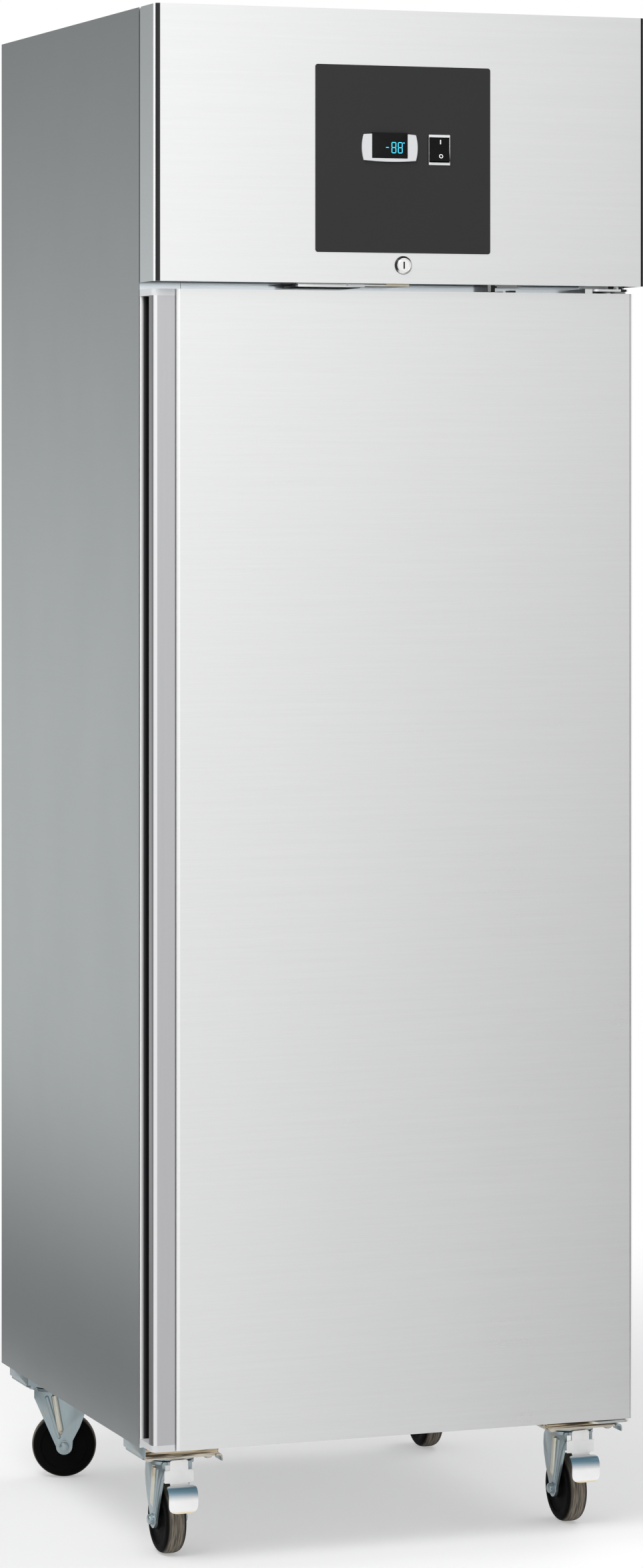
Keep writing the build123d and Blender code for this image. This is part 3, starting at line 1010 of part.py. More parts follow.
def make_rail_fittings():
    """Hood catch and door switch on the rail, and the magnet on the door."""
    cam_front = HOOD_FACE + LOCK_DEEP + CONTACT_GAP
    hook_back = cam_front - CATCH_HOOK_GAP
    strap_top = HOOD_BOTTOM - CATCH_BELOW_HOOD + CATCH_SHEET
    strap_z = (strap_top - CATCH_SHEET, strap_top)
    hook_x = (CONTROL_X - CATCH_HOOK_HALF, CONTROL_X + CATCH_HOOK_HALF)
    catch = block((CATCH_LEFT, CATCH_RIGHT), (FRAME_FACE - CATCH_DEEP, FRAME_FACE), strap_z)
    catch += block((CATCH_RIGHT - CATCH_HOOK_OVERLAP, hook_x[1]),
                   (hook_back - CATCH_SHEET, FRAME_FACE - CATCH_HOOK_BACK), strap_z)
    catch += block(hook_x, (hook_back - CATCH_SHEET, hook_back), (strap_z[0], CATCH_HOOK_TOP))
    catch += block((CATCH_LEFT, hook_x[1]), (FRAME_FACE - CATCH_SHEET, FRAME_FACE),
                   (strap_z[0], FRAME_TOP - CATCH_FRAME_GAP))
    save("hood_catch", catch)

    body_bottom = HOOD_BOTTOM - SWITCH_BELOW_HOOD
    body = block((SWITCH_LEFT, SWITCH_LEFT + SWITCH_WIDTH), (FRAME_FACE - SWITCH_DEEP, FRAME_FACE),
                 (body_bottom, body_bottom + SWITCH_HEIGHT))
    body = rounded_along(body, Axis.X, SWITCH_CORNER)
    strip_x = (SWITCH_LEFT + SWITCH_WIDTH, SWITCH_LEFT + SWITCH_WIDTH + SWITCH_STRIP)
    strip = block(strip_x, (FRAME_FACE - SWITCH_STRIP_DEEP, FRAME_FACE),
                  (HOOD_BOTTOM - SWITCH_STRIP_SHEET, HOOD_BOTTOM))
    strip += block(strip_x, (FRAME_FACE - SWITCH_STRIP_SHEET, FRAME_FACE),
                   (HOOD_BOTTOM, HOOD_BOTTOM + SWITCH_STRIP_UP))
    save("door_switch", body, strip)
    magnet_y = FRAME_FACE - SWITCH_DEEP + MAGNET_BACK
    magnet = block((MAGNET_LEFT, MAGNET_LEFT + MAGNET_WIDTH),
                   (magnet_y - MAGNET_DEEP / 2, magnet_y + MAGNET_DEEP / 2),
                   (DOOR_TOP, DOOR_TOP + MAGNET_HEIGHT))
    save("switch_magnet", magnet)


# Door
def handle_outline():
    """Section of the grip: a nose in front, a finger groove behind it and a thin back leg."""
    left, right = LEFT, LEFT + HANDLE_WIDTH
    deep, wall = LEFT + POCKET_DEEP, POCKET_WALL
    leg_front = DOOR_REAR - HANDLE_WALL
    tip = left + HANDLE_LEG_INSET
    points = [(left, NOSE_BACK), (deep, NOSE_BACK), (deep, leg_front - POCKET_BEND),
              (left + POCKET_LINING_START + POCKET_BEND, leg_front), (tip, leg_front), (tip, DOOR_REAR),
              (wall, DOOR_REAR), (wall, NOSE_BACK + HANDLE_WALL), (right, NOSE_BACK + HANDLE_WALL),
              (right, HANDLE_FACE), (left, HANDLE_FACE)]
    radii = [HANDLE_NOSE_EDGE, POCKET_BEND, 0, 0, HANDLE_LEG_EDGE, HANDLE_LEG_EDGE, 0, 0, 0, 0,
             HANDLE_NOSE_BEND]
    return points, radii


def make_handle(height):
    """Grip profile, its dark lining and the caps that close both ends."""
    points, radii = handle_outline()
    base = Plane(origin=(0, 0, height[0]))
    tall = height[1] - height[0]
    profile = prism(points, base, tall, radii)
    hollow = block((LEFT + HANDLE_NOSE_BEND, LEFT + HANDLE_WIDTH - HANDLE_WALL),
                   (HANDLE_FACE + HANDLE_WALL, NOSE_BACK - HANDLE_WALL), height)
    profile -= rounded_along(hollow, Axis.Z, HANDLE_HOLLOW_CORNER)
    save("handle_profile", profile)

    deep = LEFT + POCKET_DEEP
    leg_front = DOOR_REAR - HANDLE_WALL
    start = LEFT + POCKET_LINING_START
    outer = [(start, leg_front), (start + POCKET_BEND, leg_front), (deep, leg_front - POCKET_BEND),
             (deep, NOSE_BACK), (start, NOSE_BACK)]
    inner = [(start, leg_front - POCKET_LINING), (start + POCKET_BEND, leg_front - POCKET_LINING),
             (deep - POCKET_LINING, leg_front - POCKET_BEND - POCKET_LINING),
             (deep - POCKET_LINING, NOSE_BACK + POCKET_LINING), (start, NOSE_BACK + POCKET_LINING)]
    radii = [0, 0, 0, POCKET_BEND, 0, 0, POCKET_BEND - POCKET_LINING, 0, 0, 0]
    lining = prism(outer + inner[::-1], base, tall, radii)
    save("handle_pocket", lining - profile)

    caps = []
    for low, high in ((DOOR_BOTTOM, height[0]), (height[1], DOOR_TOP)):
        cap = block((LEFT, LEFT + HANDLE_WIDTH), (HANDLE_FACE, DOOR_REAR), (low, high))
        left_edges = cap.edges().filter_by(Axis.Z).sort_by(Axis.X)[:2].sort_by(Axis.Y)
        caps.append(fillet(left_edges[0], HANDLE_NOSE_BEND))
    save("handle_end_caps", *caps)
    return profile


def door_bushes():
    """Flanged bushes that run on the hinge pins."""
    bushes = []
    for door_edge, plate, into in ((DOOR_BOTTOM, BOTTOM, 1), (DOOR_TOP, upper_plate_bottom(), -1)):
        inner = (HINGE_X, HINGE_Y, door_edge + into * BUSH_LENGTH)
        edge = (HINGE_X, HINGE_Y, door_edge)
        face = (HINGE_X, HINGE_Y, plate + into * CONTACT_GAP)
        bush = rod(edge, inner, BUSH_RADIUS) + rod(face, edge, BUSH_FLANGE_RADIUS)
        bushes.append(bush - rod((HINGE_X, HINGE_Y, plate), inner, HINGE_PIN_RADIUS + RUNNING_FIT))
    return bushes


def door_holes():
    """Holes in the door's ends for the bushes."""
    return [rod((HINGE_X, HINGE_Y, edge), (HINGE_X, HINGE_Y, edge + into * BUSH_LENGTH), BUSH_RADIUS)
            for edge, into in ((DOOR_BOTTOM, 1), (DOOR_TOP, -1))]


def upper_plate_bottom():
    return DOOR_TOP + (DOOR_TOP_GAP - HINGE_PLATE) / 2


def make_door():
    """Skin, liner, gasket, grip, insulation and bushes."""
    height = (DOOR_BOTTOM, DOOR_TOP)
    inner_z = (DOOR_BOTTOM + SHEET, DOOR_TOP - SHEET)
    grip_z = (DOOR_BOTTOM + END_CAP, DOOR_TOP - END_CAP)
    holes = door_holes()

    skin = front_rounded(block((SKIN_LEFT, DOOR_RIGHT), (DOOR_FACE, DOOR_REAR), height), DOOR_BEND)
    inside = block((SKIN_LEFT + SHEET, DOOR_RIGHT - SHEET), (DOOR_FACE + SHEET, DOOR_REAR - SHEET), inner_z)
    skin -= front_rounded(inside, DOOR_BEND - SHEET)
    skin -= block((SKIN_LEFT + SHEET, DOOR_RIGHT - DOOR_LIP), (DOOR_REAR - 2 * SHEET, DOOR_REAR + OVERRUN),
                  (DOOR_BOTTOM + DOOR_LIP, DOOR_TOP - DOOR_LIP))
    skin -= block((SKIN_LEFT - OVERRUN, SKIN_LEFT + SHEET), (NOSE_BACK - SHEET, DOOR_REAR + OVERRUN), grip_z)
    for hole in holes:
        skin -= hole
    save("door_skin", skin)

    rise_x = (ROOM_LEFT + LINER_RISE_MARGIN, ROOM_RIGHT - LINER_RISE_MARGIN)
    rise_z = (ROOM_FLOOR + LINER_RISE_MARGIN, ROOM_CEILING - LINER_RISE_MARGIN)
    flat = block((POCKET_WALL, DOOR_RIGHT - SHEET), (LINER_FLAT - SHEET, LINER_FLAT), inner_z)
    for end_z in ((DOOR_BOTTOM, grip_z[0]), (grip_z[1], DOOR_TOP)):
        flat -= block((POCKET_WALL - OVERRUN, SKIN_LEFT + SHEET),
                      (LINER_FLAT - 2 * SHEET, LINER_FLAT + OVERRUN), end_z)
    rise = block(rise_x, (LINER_FLAT - SHEET, FRAME_FACE + LINER_RISE), rise_z)
    rise = rounded_along(rise, Axis.Y, LINER_CORNER)
    rise = fillet(rise.faces().sort_by(Axis.Y)[-1].edges(), LINER_RISE_EDGE)
    hollow_x = (rise_x[0] + SHEET, rise_x[1] - SHEET)
    hollow_z = (rise_z[0] + SHEET, rise_z[1] - SHEET)
    hollow = block(hollow_x, (LINER_FLAT - 2 * SHEET, FRAME_FACE + LINER_RISE - SHEET), hollow_z)
    hollow = rounded_along(hollow, Axis.Y, LINER_CORNER - SHEET)
    hollow = fillet(hollow.faces().sort_by(Axis.Y)[-1].edges(), LINER_RISE_EDGE - SHEET)
    liner = (flat + rise) - hollow
    save("door_liner", liner)

    make_gasket()
    profile = make_handle(grip_z)

    foam = block((SKIN_LEFT + SHEET, DOOR_RIGHT - SHEET), (DOOR_FACE + SHEET, LINER_FLAT - SHEET), inner_z)
    foam = front_rounded(foam, DOOR_BEND - SHEET)
    foam += block((POCKET_WALL, SKIN_LEFT + SHEET), (NOSE_BACK + HANDLE_WALL, LINER_FLAT - SHEET), grip_z)
    foam += hollow & block(rise_x, (LINER_FLAT - SHEET, FRAME_FACE + LINER_RISE), rise_z)
    for piece in (skin, profile, *holes):
        foam -= piece
    save("door_foam", foam)
    save("hinge_bushes", *door_bushes())


def make_gasket():
    """Magnetic gasket: a base held in the door and a narrower bulb that meets the frame."""
    gasket = None
    for width, y in ((GASKET_WIDTH, (LINER_FLAT, LINER_FLAT + GASKET_BASE)),
                     (GASKET_BULB, (LINER_FLAT + GASKET_BASE - GASKET_JOIN, FRAME_FACE - CONTACT_GAP))):
        middle = GASKET_EDGE + GASKET_WIDTH / 2
        out, inn = middle + width / 2, middle - width / 2
        ring = block((ROOM_LEFT - out, ROOM_RIGHT + out), y, (ROOM_FLOOR - out, ROOM_CEILING + out))
        ring = rounded_along(ring, Axis.Y, GASKET_CORNER)
        ring -= block((ROOM_LEFT - inn, ROOM_RIGHT + inn), y, (ROOM_FLOOR - inn, ROOM_CEILING + inn))
        gasket = ring if gasket is None else gasket + ring
    save("door_gasket", gasket)


def make_door_hinges():
    """Plates with pins above and below the door."""
    x = (HINGE_X + HINGE_PLATE_EDGE - HINGE_PLATE_WIDTH, HINGE_X + HINGE_PLATE_EDGE)
    nose = HINGE_Y - HINGE_PLATE_NOSE
    low = upper_plate_bottom()
    upper = rounded_plate(x, (nose, FRAME_FACE), (low, low + HINGE_PLATE))
    upper += block(x, (FRAME_FACE - HINGE_PLATE, FRAME_FACE), (low, low + HINGE_FLANGE))
    top = low + HINGE_PLATE
    upper += rod((HINGE_X, HINGE_Y, top), (HINGE_X, HINGE_Y, DOOR_TOP - HINGE_PIN_REACH), HINGE_PIN_RADIUS)
    upper += rod((HINGE_X, HINGE_Y, top), (HINGE_X, HINGE_Y, top + HINGE_PIN_HEAD), HINGE_PIN_HEAD_RADIUS)
    stop = block((x[0] - HINGE_STOP, x[0]), (nose, FRAME_FACE), (DOOR_TOP + CONTACT_GAP, top))
    save("upper_hinge", upper, stop)
    lower = lower_hinge_plate()
    lower += rod((HINGE_X, HINGE_Y, BOTTOM - HINGE_PLATE), (HINGE_X, HINGE_Y, DOOR_BOTTOM + HINGE_PIN_REACH),
                 HINGE_PIN_RADIUS)
    save("lower_hinge", lower)


def rounded_plate(x, y, z):
    """Flat plate with its front corners rounded."""
    return front_rounded(block(x, y, z), HINGE_PLATE_CORNER)


def lower_hinge_plate():
    x = (HINGE_X + HINGE_PLATE_EDGE - HINGE_PLATE_WIDTH, HINGE_X + HINGE_PLATE_EDGE)
    return rounded_plate(x, (HINGE_Y - HINGE_PLATE_NOSE, FRAME_FACE + HINGE_UNDER),
                         (BOTTOM - HINGE_PLATE, BOTTOM))


# Castors
def castor_bracket(x, y):
    """Short box section under the cabinet, open to both sides."""
    half_x, half_y = TOP_PLATE_X / 2, TOP_PLATE_Y / 2
    outer = block((x - half_x, x + half_x), (y - half_y, y + half_y), (PLATE_TOP_Z, BOTTOM))
    inner = block((x - half_x - OVERRUN, x + half_x + OVERRUN),
                  (y - half_y + BRACKET_WALL, y + half_y - BRACKET_WALL),
                  (PLATE_TOP_Z + BRACKET_WALL, BOTTOM - BRACKET_WALL))
    return outer - inner - lower_hinge_plate()


def castor_plate(x, y):
    """Top plate with the fixed race and the kingpin."""
    plate = block((x - TOP_PLATE_X / 2, x + TOP_PLATE_X / 2), (y - TOP_PLATE_Y / 2, y + TOP_PLATE_Y / 2),
                  (PLATE_BOTTOM_Z, PLATE_TOP_Z))
    plate = rounded_along(plate, Axis.Z, TOP_PLATE_CORNER)
    race = rod((x, y, RACE_BOTTOM), (x, y, PLATE_BOTTOM_Z), RACE_RADIUS)
    race = fillet(race.edges().filter_by(GeomType.CIRCLE).sort_by(Axis.Z)[0], RACE_ROUND)
    head_top = CROWN_TOP - CROWN - CONTACT_GAP
    pin = rod((x, y, head_top - KINGPIN_HEAD), (x, y, PLATE_BOTTOM_Z), KINGPIN_RADIUS)
    head = rod((x, y, head_top - KINGPIN_HEAD), (x, y, head_top), KINGPIN_HEAD_RADIUS)
    return plate + race + pin + head


def castor_leg(side):
    """Tapering leg with a pressed rib, beside the wheel."""
    shoulder = CROWN_TOP - LEG_SHOULDER
    foot = WHEEL_RADIUS
    points = [(-LEG_FRONT, CROWN_TOP), (LEG_BACK, CROWN_TOP), (LEG_BACK, shoulder),
              (TRAIL + LEG_FOOT_RADIUS, foot), (TRAIL - LEG_FOOT_RADIUS, foot), (-LEG_FRONT, shoulder)]
    plane = Plane.YZ.offset(LEG_INNER if side > 0 else -LEG_OUTER)
    leg = prism(points, plane, LEG_SHEET)
    inner, outer = side * LEG_INNER, side * LEG_OUTER
    leg += rod((inner, TRAIL, foot), (outer, TRAIL, foot), LEG_FOOT_RADIUS)
    rib_top = (outer, -RIB_TOP_AHEAD, shoulder)
    rib_foot = (outer, RIB_FOOT_BEHIND, foot + LEG_FOOT_RADIUS + RIB_FOOT_ABOVE)
    rib = rod(rib_top, rib_foot, RIB_RADIUS)
    rib += Pos(*rib_top) * Sphere(RIB_RADIUS) + Pos(*rib_foot) * Sphere(RIB_RADIUS)
    rib &= block((inner + side * SHEET, outer + side * RIB_RADIUS), (-WHEEL_RADIUS, WHEEL_RADIUS),
                 (0, CROWN_TOP))
    return leg + rib


def castor_fork(braked):
    """Crown and legs, centred on the swivel axis, trailing towards +Y, and the axle bolt."""
    crown = rod((0, 0, CROWN_TOP - CROWN), (0, 0, CROWN_TOP), RACE_RADIUS + CROWN_OVER_RACE)
    crown += block((-LEG_OUTER, LEG_OUTER), (-LEG_FRONT, LEG_BACK), (CROWN_TOP - CROWN, CROWN_TOP))
    fork = crown + castor_leg(-1) + castor_leg(1)
    if braked:
        for ear in ((-LEG_INNER, -LEG_OUTER), (LEG_INNER, LEG_OUTER)):
            fork += cross_rod(ear, -PEDAL_PIVOT_AHEAD, PEDAL_PIVOT_Z, PEDAL_EAR_RADIUS)
        fork += cross_rod((-LEG_OUTER, LEG_OUTER), -PEDAL_PIVOT_AHEAD, PEDAL_PIVOT_Z, PEDAL_PIN_RADIUS)
    fork -= rod((0, 0, CROWN_TOP - CROWN - OVERRUN), (0, 0, CROWN_TOP + OVERRUN), KINGPIN_RADIUS + RUNNING_FIT)
    axle = cross_rod((-LEG_OUTER - AXLE_HEAD, LEG_OUTER + AXLE_HEAD), TRAIL, WHEEL_RADIUS, AXLE_RADIUS)
    fork -= axle
    for side in (-1, 1):
        place = Plane.YZ.offset(side * LEG_OUTER) * Pos(TRAIL, WHEEL_RADIUS)
        axle += extrude(place * RegularPolygon(AXLE_HEAD_RADIUS, 6), amount=side * AXLE_HEAD)
    return fork, axle


def castor_wheel():
    """Solid wheel with rounded shoulders and a proud hub."""
    wheel = cross_rod((-WHEEL_WIDTH / 2, WHEEL_WIDTH / 2), TRAIL, WHEEL_RADIUS, WHEEL_RADIUS)
    wheel = fillet(wheel.edges().filter_by(GeomType.CIRCLE), WHEEL_SHOULDER)
    for side in (-1, 1):
        face = side * WHEEL_WIDTH / 2
        wheel -= cross_rod((face, face - side * WEB_RECESS), TRAIL, WHEEL_RADIUS, WEB_RADIUS)
    half = LEG_INNER - CONTACT_GAP
    wheel += cross_rod((-half, half), TRAIL, WHEEL_RADIUS, HUB_RADIUS)
    return wheel - cross_rod((-half - OVERRUN, half + OVERRUN), TRAIL, WHEEL_RADIUS, AXLE_RADIUS + RUNNING_FIT)


def brake_pedal():
    """Neck, ears and curved foot pad in front of the fork, with a barrel on the fork's pin."""
    back = -PEDAL_AHEAD
    front = back - PEDAL_SHEET
    half_neck, half = PEDAL_NECK / 2, PEDAL_WIDTH / 2
    pedal = block((-half_neck, half_neck), (front, back), (PEDAL_EARS_BOTTOM - PEDAL_NECK_DROP, PEDAL_TOP))
    pedal += block((-half, half), (front, back), (PEDAL_EARS_BOTTOM, PEDAL_EARS_TOP))
    pedal = fillet(pedal.edges().filter_by(Axis.Y).group_by(Axis.Z)[-1], PEDAL_CORNER)
    top = PEDAL_EARS_BOTTOM - PEDAL_PAD_DROP
    tip = -PEDAL_TIP_AHEAD
    pad = [(back, top), (tip, top), (tip, PEDAL_TIP_Z), (tip + PEDAL_SHEET, PEDAL_TIP_Z),
           (tip + PEDAL_SHEET, top - PEDAL_SHEET), (back, top - PEDAL_SHEET)]
    radii = [0, PEDAL_BEND, 0, 0, PEDAL_BEND - PEDAL_SHEET, 0]
    pad = prism(pad, Plane.YZ.offset(-half), PEDAL_WIDTH, radii)
    pedal += pad
    barrel = PEDAL_PIN_RADIUS + PEDAL_BARREL_WALL
    width = LEG_INNER - CONTACT_GAP
    pedal += cross_rod((-width, width), -PEDAL_PIVOT_AHEAD, PEDAL_PIVOT_Z, barrel)
    pedal += block((-half_neck, half_neck), (back, -PEDAL_PIVOT_AHEAD),
                   (PEDAL_PIVOT_Z - PEDAL_LINK_HALF, PEDAL_PIVOT_Z + PEDAL_LINK_HALF))
    return pedal - cross_rod((-half, half), -PEDAL_PIVOT_AHEAD, PEDAL_PIVOT_Z, PEDAL_PIN_RADIUS + RUNNING_FIT)


def make_castors():
    """Four castors; only the front pair has brakes."""
    save("castor_brackets", *[castor_bracket(x, y) for x, y in CASTORS.values()])
    save("castor_top_plates", *[castor_plate(x, y) for x, y in CASTORS.values()])
    for corner, (x, y) in CASTORS.items():
        place = Pos(x, y, 0) * Rot(0, 0, CASTOR_YAW[corner])
        braked = corner.startswith("front")
        save(f"castor_fork_{corner}", *[place * piece for piece in castor_fork(braked)])
        save(f"castor_wheel_{corner}", place * castor_wheel())
        if braked:
            save(f"brake_pedal_{corner}", place * brake_pedal())


make_cabinet()
make_rear_grille()
make_shelving()
make_air_cooler()
make_drain()
make_condenser()
make_compressor()
make_pipes()
make_electrical_box()
make_hood()
make_control_plate()
make_rocker()
make_lock()
make_rail_fittings()
make_door()
make_door_hinges()
make_castors()
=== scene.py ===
"""Dresses the upright refrigerator: finishes on its CAD sub-parts, small fittings, and a studio round it."""

import json
from math import cos, radians, sin, tau

import bmesh
import bpy
import numpy as np
from bpy.props import FloatProperty, FloatVectorProperty, IntProperty, PointerProperty
from mathutils import Matrix, Vector


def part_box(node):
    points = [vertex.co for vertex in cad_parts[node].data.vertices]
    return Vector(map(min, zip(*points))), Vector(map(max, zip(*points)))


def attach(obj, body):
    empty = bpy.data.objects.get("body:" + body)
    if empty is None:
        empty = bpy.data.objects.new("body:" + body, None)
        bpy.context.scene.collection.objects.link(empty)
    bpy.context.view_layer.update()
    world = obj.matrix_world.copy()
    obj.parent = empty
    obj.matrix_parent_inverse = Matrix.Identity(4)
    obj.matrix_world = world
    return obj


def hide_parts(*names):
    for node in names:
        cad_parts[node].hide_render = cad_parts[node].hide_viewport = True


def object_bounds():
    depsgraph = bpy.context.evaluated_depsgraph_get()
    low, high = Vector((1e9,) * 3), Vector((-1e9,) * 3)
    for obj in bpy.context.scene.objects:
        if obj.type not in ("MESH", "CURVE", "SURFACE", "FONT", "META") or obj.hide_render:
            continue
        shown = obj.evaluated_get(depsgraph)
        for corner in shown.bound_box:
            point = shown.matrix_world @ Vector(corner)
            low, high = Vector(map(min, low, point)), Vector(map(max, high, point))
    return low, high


bl_info = {
    "name": "Upright refrigerator dressing",
    "version": (1, 0, 0),
    "blender": (4, 5, 0),
    "location": "3D View > Sidebar > Refrigerator",
    "description": "Finishes, small fittings and a studio for an upright refrigerator on castors",
    "category": "Object",
}

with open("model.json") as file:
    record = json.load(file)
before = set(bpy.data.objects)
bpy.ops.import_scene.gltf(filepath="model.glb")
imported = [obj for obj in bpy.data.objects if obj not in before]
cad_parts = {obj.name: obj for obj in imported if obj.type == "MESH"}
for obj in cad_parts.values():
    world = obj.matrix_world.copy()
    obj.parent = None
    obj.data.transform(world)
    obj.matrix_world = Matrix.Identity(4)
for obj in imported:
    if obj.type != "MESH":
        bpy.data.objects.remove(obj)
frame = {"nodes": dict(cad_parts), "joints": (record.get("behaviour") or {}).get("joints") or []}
CAD_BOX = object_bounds()

CORNERS = ("front_left", "front_right", "rear_left", "rear_right")
SIDES = (-1, 1)
MM = 0.001
FRONT, RIGHT, UP, DOWN = (0, -1, 0), (1, 0, 0), (0, 0, 1), (0, 0, -1)
FLAT = (1, 1, 0)                  # times a place: that place on the floor
LEG_FACE = 0.0195                 # from a wheel's middle to the outside of its fork's leg
CHEEK = 0.0012                    # thickness of the cheek on it
HOOD_FACE = -0.348                # the hood's front
BEZEL_FACE = -0.3515              # the front of the display's bezel
PANE_FACE = -0.35175              # the front of its pane
RAIL_FACE = -0.2785               # the front of the rail over the door
RAIL_FOOT = 1.6400                # where that rail starts
EYE = (-2.2922, -6.3309, 1.4433)  # the camera's place
FLOOR = -0.0006                   # the floor lies this little below the wheels
SHEET_METALLIC = 0.88
BLACK, PALE = (0.006, 0.006, 0.007), (0.95, 0.97, 0.97)
FOAM_COLOUR = (0.86, 0.79, 0.58)
COPPER_COLOUR = (0.78, 0.40, 0.25)
BLADE_COLOUR = (0.035, 0.035, 0.037)


# Finishes
def maths(operation, swapped=False):
    """A method that joins a value with a number or a value in a Math node."""
    def method(value, other=0.0):
        pair = (other, value) if swapped else (value, other)
        return value.nodes.node("ShaderNodeMath", {"operation": operation}, dict(enumerate(pair)))

    return method


class Value:
    """A number or colour that changes over a surface: a shader node's output, with Python's operators."""

    __add__ = __radd__ = maths("ADD")
    __sub__ = maths("SUBTRACT")
    __rsub__ = maths("SUBTRACT", True)
    __mul__ = __rmul__ = maths("MULTIPLY")
    __truediv__ = maths("DIVIDE")
    __pow__ = maths("POWER")
    __abs__ = maths("ABSOLUTE")
    over = maths("GREATER_THAN")
    under = maths("LESS_THAN")
    or_more = maths("MAXIMUM")

    def __init__(self, nodes, socket):
        self.nodes = nodes
        self.socket = socket

    def fade(self, start, end, low=0.0, high=1.0):
        """Goes smoothly from low to high while this value goes from start to end."""
        values = {"Value": self, "From Min": start, "From Max": end, "To Min": low, "To Max": high}
        return self.nodes.node("ShaderNodeMapRange", {"interpolation_type": "SMOOTHSTEP"}, values)


class Nodes:
    """A node tree that grows by one call for each node."""

    def __init__(self, tree):
        self.tree = tree

    def node(self, kind, settings=None, inputs=None, output=0):
        """Adds a node, sets it, feeds its inputs and gives one of its outputs."""
        made = self.tree.nodes.new(kind)
        for key, value in (settings or {}).items():
            setattr(made, key, value)
        for key, value in (inputs or {}).items():
            self.connect(made.inputs[key], value)
        return Value(self, made.outputs[output])

    def connect(self, socket, value):
        """Links a value to a socket, or sets the socket to a number or colour."""
        if isinstance(value, Value):
            self.tree.links.new(value.socket, socket)
        elif isinstance(value, tuple) and socket.type == "RGBA":
            socket.default_value = (*value, 1)
        else:
            socket.default_value = value


class Finish(Nodes):
    """One material on a Principled shader, with the patterns that feed it."""

    def __init__(self, name, slot, **constants):
        self.material = bpy.data.materials.new(name)
        self.material.use_nodes = True
        super().__init__(self.material.node_tree)
        self.slot = slot
        self.shader = self.tree.nodes["Principled BSDF"]
        self.place = self.node("ShaderNodeTexCoord", output="Object")
        for socket, value in constants.items():
            self.feed(socket.replace("_", " ").title().replace("Ior", "IOR"), value)

    def feed(self, socket, value):
        """Sets or links one of the shader's own sockets."""
        self.connect(self.shader.inputs[socket], value)

    def fed(self, socket):
        """What feeds one of the shader's own sockets."""
        return Value(self, self.shader.inputs[socket].links[0].from_socket)

    def axes(self):
        """The three object coordinates as values."""
        split = self.node("ShaderNodeSeparateXYZ", inputs={0: self.place}).socket.node
        return [Value(self, output) for output in split.outputs]

    def stretched(self, scale):
        """The object coordinates times one number, or times one along each axis."""
        values = {"Vector": self.place, "Scale": tuple(np.broadcast_to(scale, 3))}
        return self.node("ShaderNodeMapping", inputs=values)

    def noise(self, scale, detail=2.0):
        """Noise of about 0 to 1, with its own frequency along each axis."""
        values = {"Vector": self.stretched(scale), "Scale": 1.0, "Detail": detail}
        return self.node("ShaderNodeTexNoise", inputs=values)

    def cells(self, scale):
        """Distance to the nearest of many scattered points."""
        return self.node("ShaderNodeTexVoronoi", inputs={"Vector": self.stretched(scale), "Scale": 1.0})

    def tinted(self, colour, tone):
        """A colour made lighter or darker by a value."""
        return self.node("ShaderNodeVectorMath", {"operation": "SCALE"}, {0: colour, "Scale": tone})

    def mixed(self, mask, first, second):
        """First colour where the mask is 0, second where it is 1."""
        return self.node("ShaderNodeMix", {"data_type": "RGBA"}, {0: mask, 6: first, 7: second}, 2)

    def paint(self, mask, colour):
        """Lays a colour over the base colour where the mask is 1."""
        self.feed("Base Color", self.mixed(mask, self.fed("Base Color"), colour))

    def show(self, base, rough, height, depth):
        """Feeds the base colour, the roughness and a relief of that many metres."""
        self.feed("Base Color", base)
        self.feed("Roughness", rough)
        self.feed("Normal", self.node("ShaderNodeBump", inputs={"Height": height, "Distance": depth}))
        return self


def brushed(name, colour, grain, roughness=0.3, metallic=SHEET_METALLIC):
    """Sheet brushed along its least frequent grain axis, with a slow cloudiness and wiped patches."""
    made = Finish(name, "stainless_steel", metallic=metallic)
    streaks = made.noise(grain, 3.0)
    bands = made.noise(np.array(grain) / 6)
    cloud = made.noise((1.7, 1.7, 1.1))
    wiped = made.noise((9.0, 9.0, 5.0), 4.0)
    base = made.tinted(colour, 0.93 + (streaks + bands + cloud) * 0.05)
    return made.show(base, roughness - 0.08 + bands * 0.07 + wiped * 0.09, streaks, 0.00002)


def hood_steel(colour, grain, low, high):
    """Brushed sheet with painted light: a dark line of painted reflection runs down each bent front corner,
    a white painted highlight behind it, and the returns are painted shade, a bluish grey, with a dark seam
    at their ends."""
    made = brushed("hood_sheet", colour, grain)
    x, y, _ = made.axes()
    side = abs(x).fade(high.x - 0.0024, high.x - 0.0012)
    front = y.fade(low.y + 0.0040, low.y + 0.0030)
    line = side * y.fade(low.y + 0.0110, low.y + 0.0100) * (1 - front)
    # painted shade: the returns are a bluish grey, darker than the front because of how light falls on them
    made.paint(side, (0.55, 0.59, 0.60))
    # painted highlight: a white line where each return bends to the front, less metallic so that it shows
    # white
    made.paint(line, (0.97, 0.97, 0.97))
    made.paint(side * y.fade(high.y - 0.0046, high.y - 0.0036), (0.03, 0.03, 0.035))
    # painted reflection: a dark line on the front along each bent corner
    made.paint(abs(x).fade(high.x - 0.0064, high.x - 0.0054) * front, (0.028, 0.028, 0.030))
    made.feed("Metallic", SHEET_METALLIC - line * 0.8)
    return made


def frame_steel(colour, grain):
    """Brushed sheet whose rail over the door is painted a bluish white, a painted reflection that keeps it
    bright in the shade under the hood, and which is painted dark from just under the hood up, a painted shadow
    of the hood.
    """
    made = brushed("frame_sheet", colour, grain, 0.32)
    z = made.axes()[2]
    rail = z.fade(RAIL_FOOT, RAIL_FOOT + 0.0025)
    # painted reflection: the rail is tinted a bluish white and made shinier, so that it stays bright in its
    # shade
    made.paint(rail, (0.73, 0.79, 0.83))
    # painted shadow: dark from a line just under the hood's lower edge upwards
    made.paint(z.fade(RAIL_FOOT + 0.0148, RAIL_FOOT + 0.0156), (0.20, 0.24, 0.26))
    made.feed("Metallic", SHEET_METALLIC + rail * 0.07)
    made.feed("Roughness", made.fed("Roughness") - rail * 0.16)
    return made


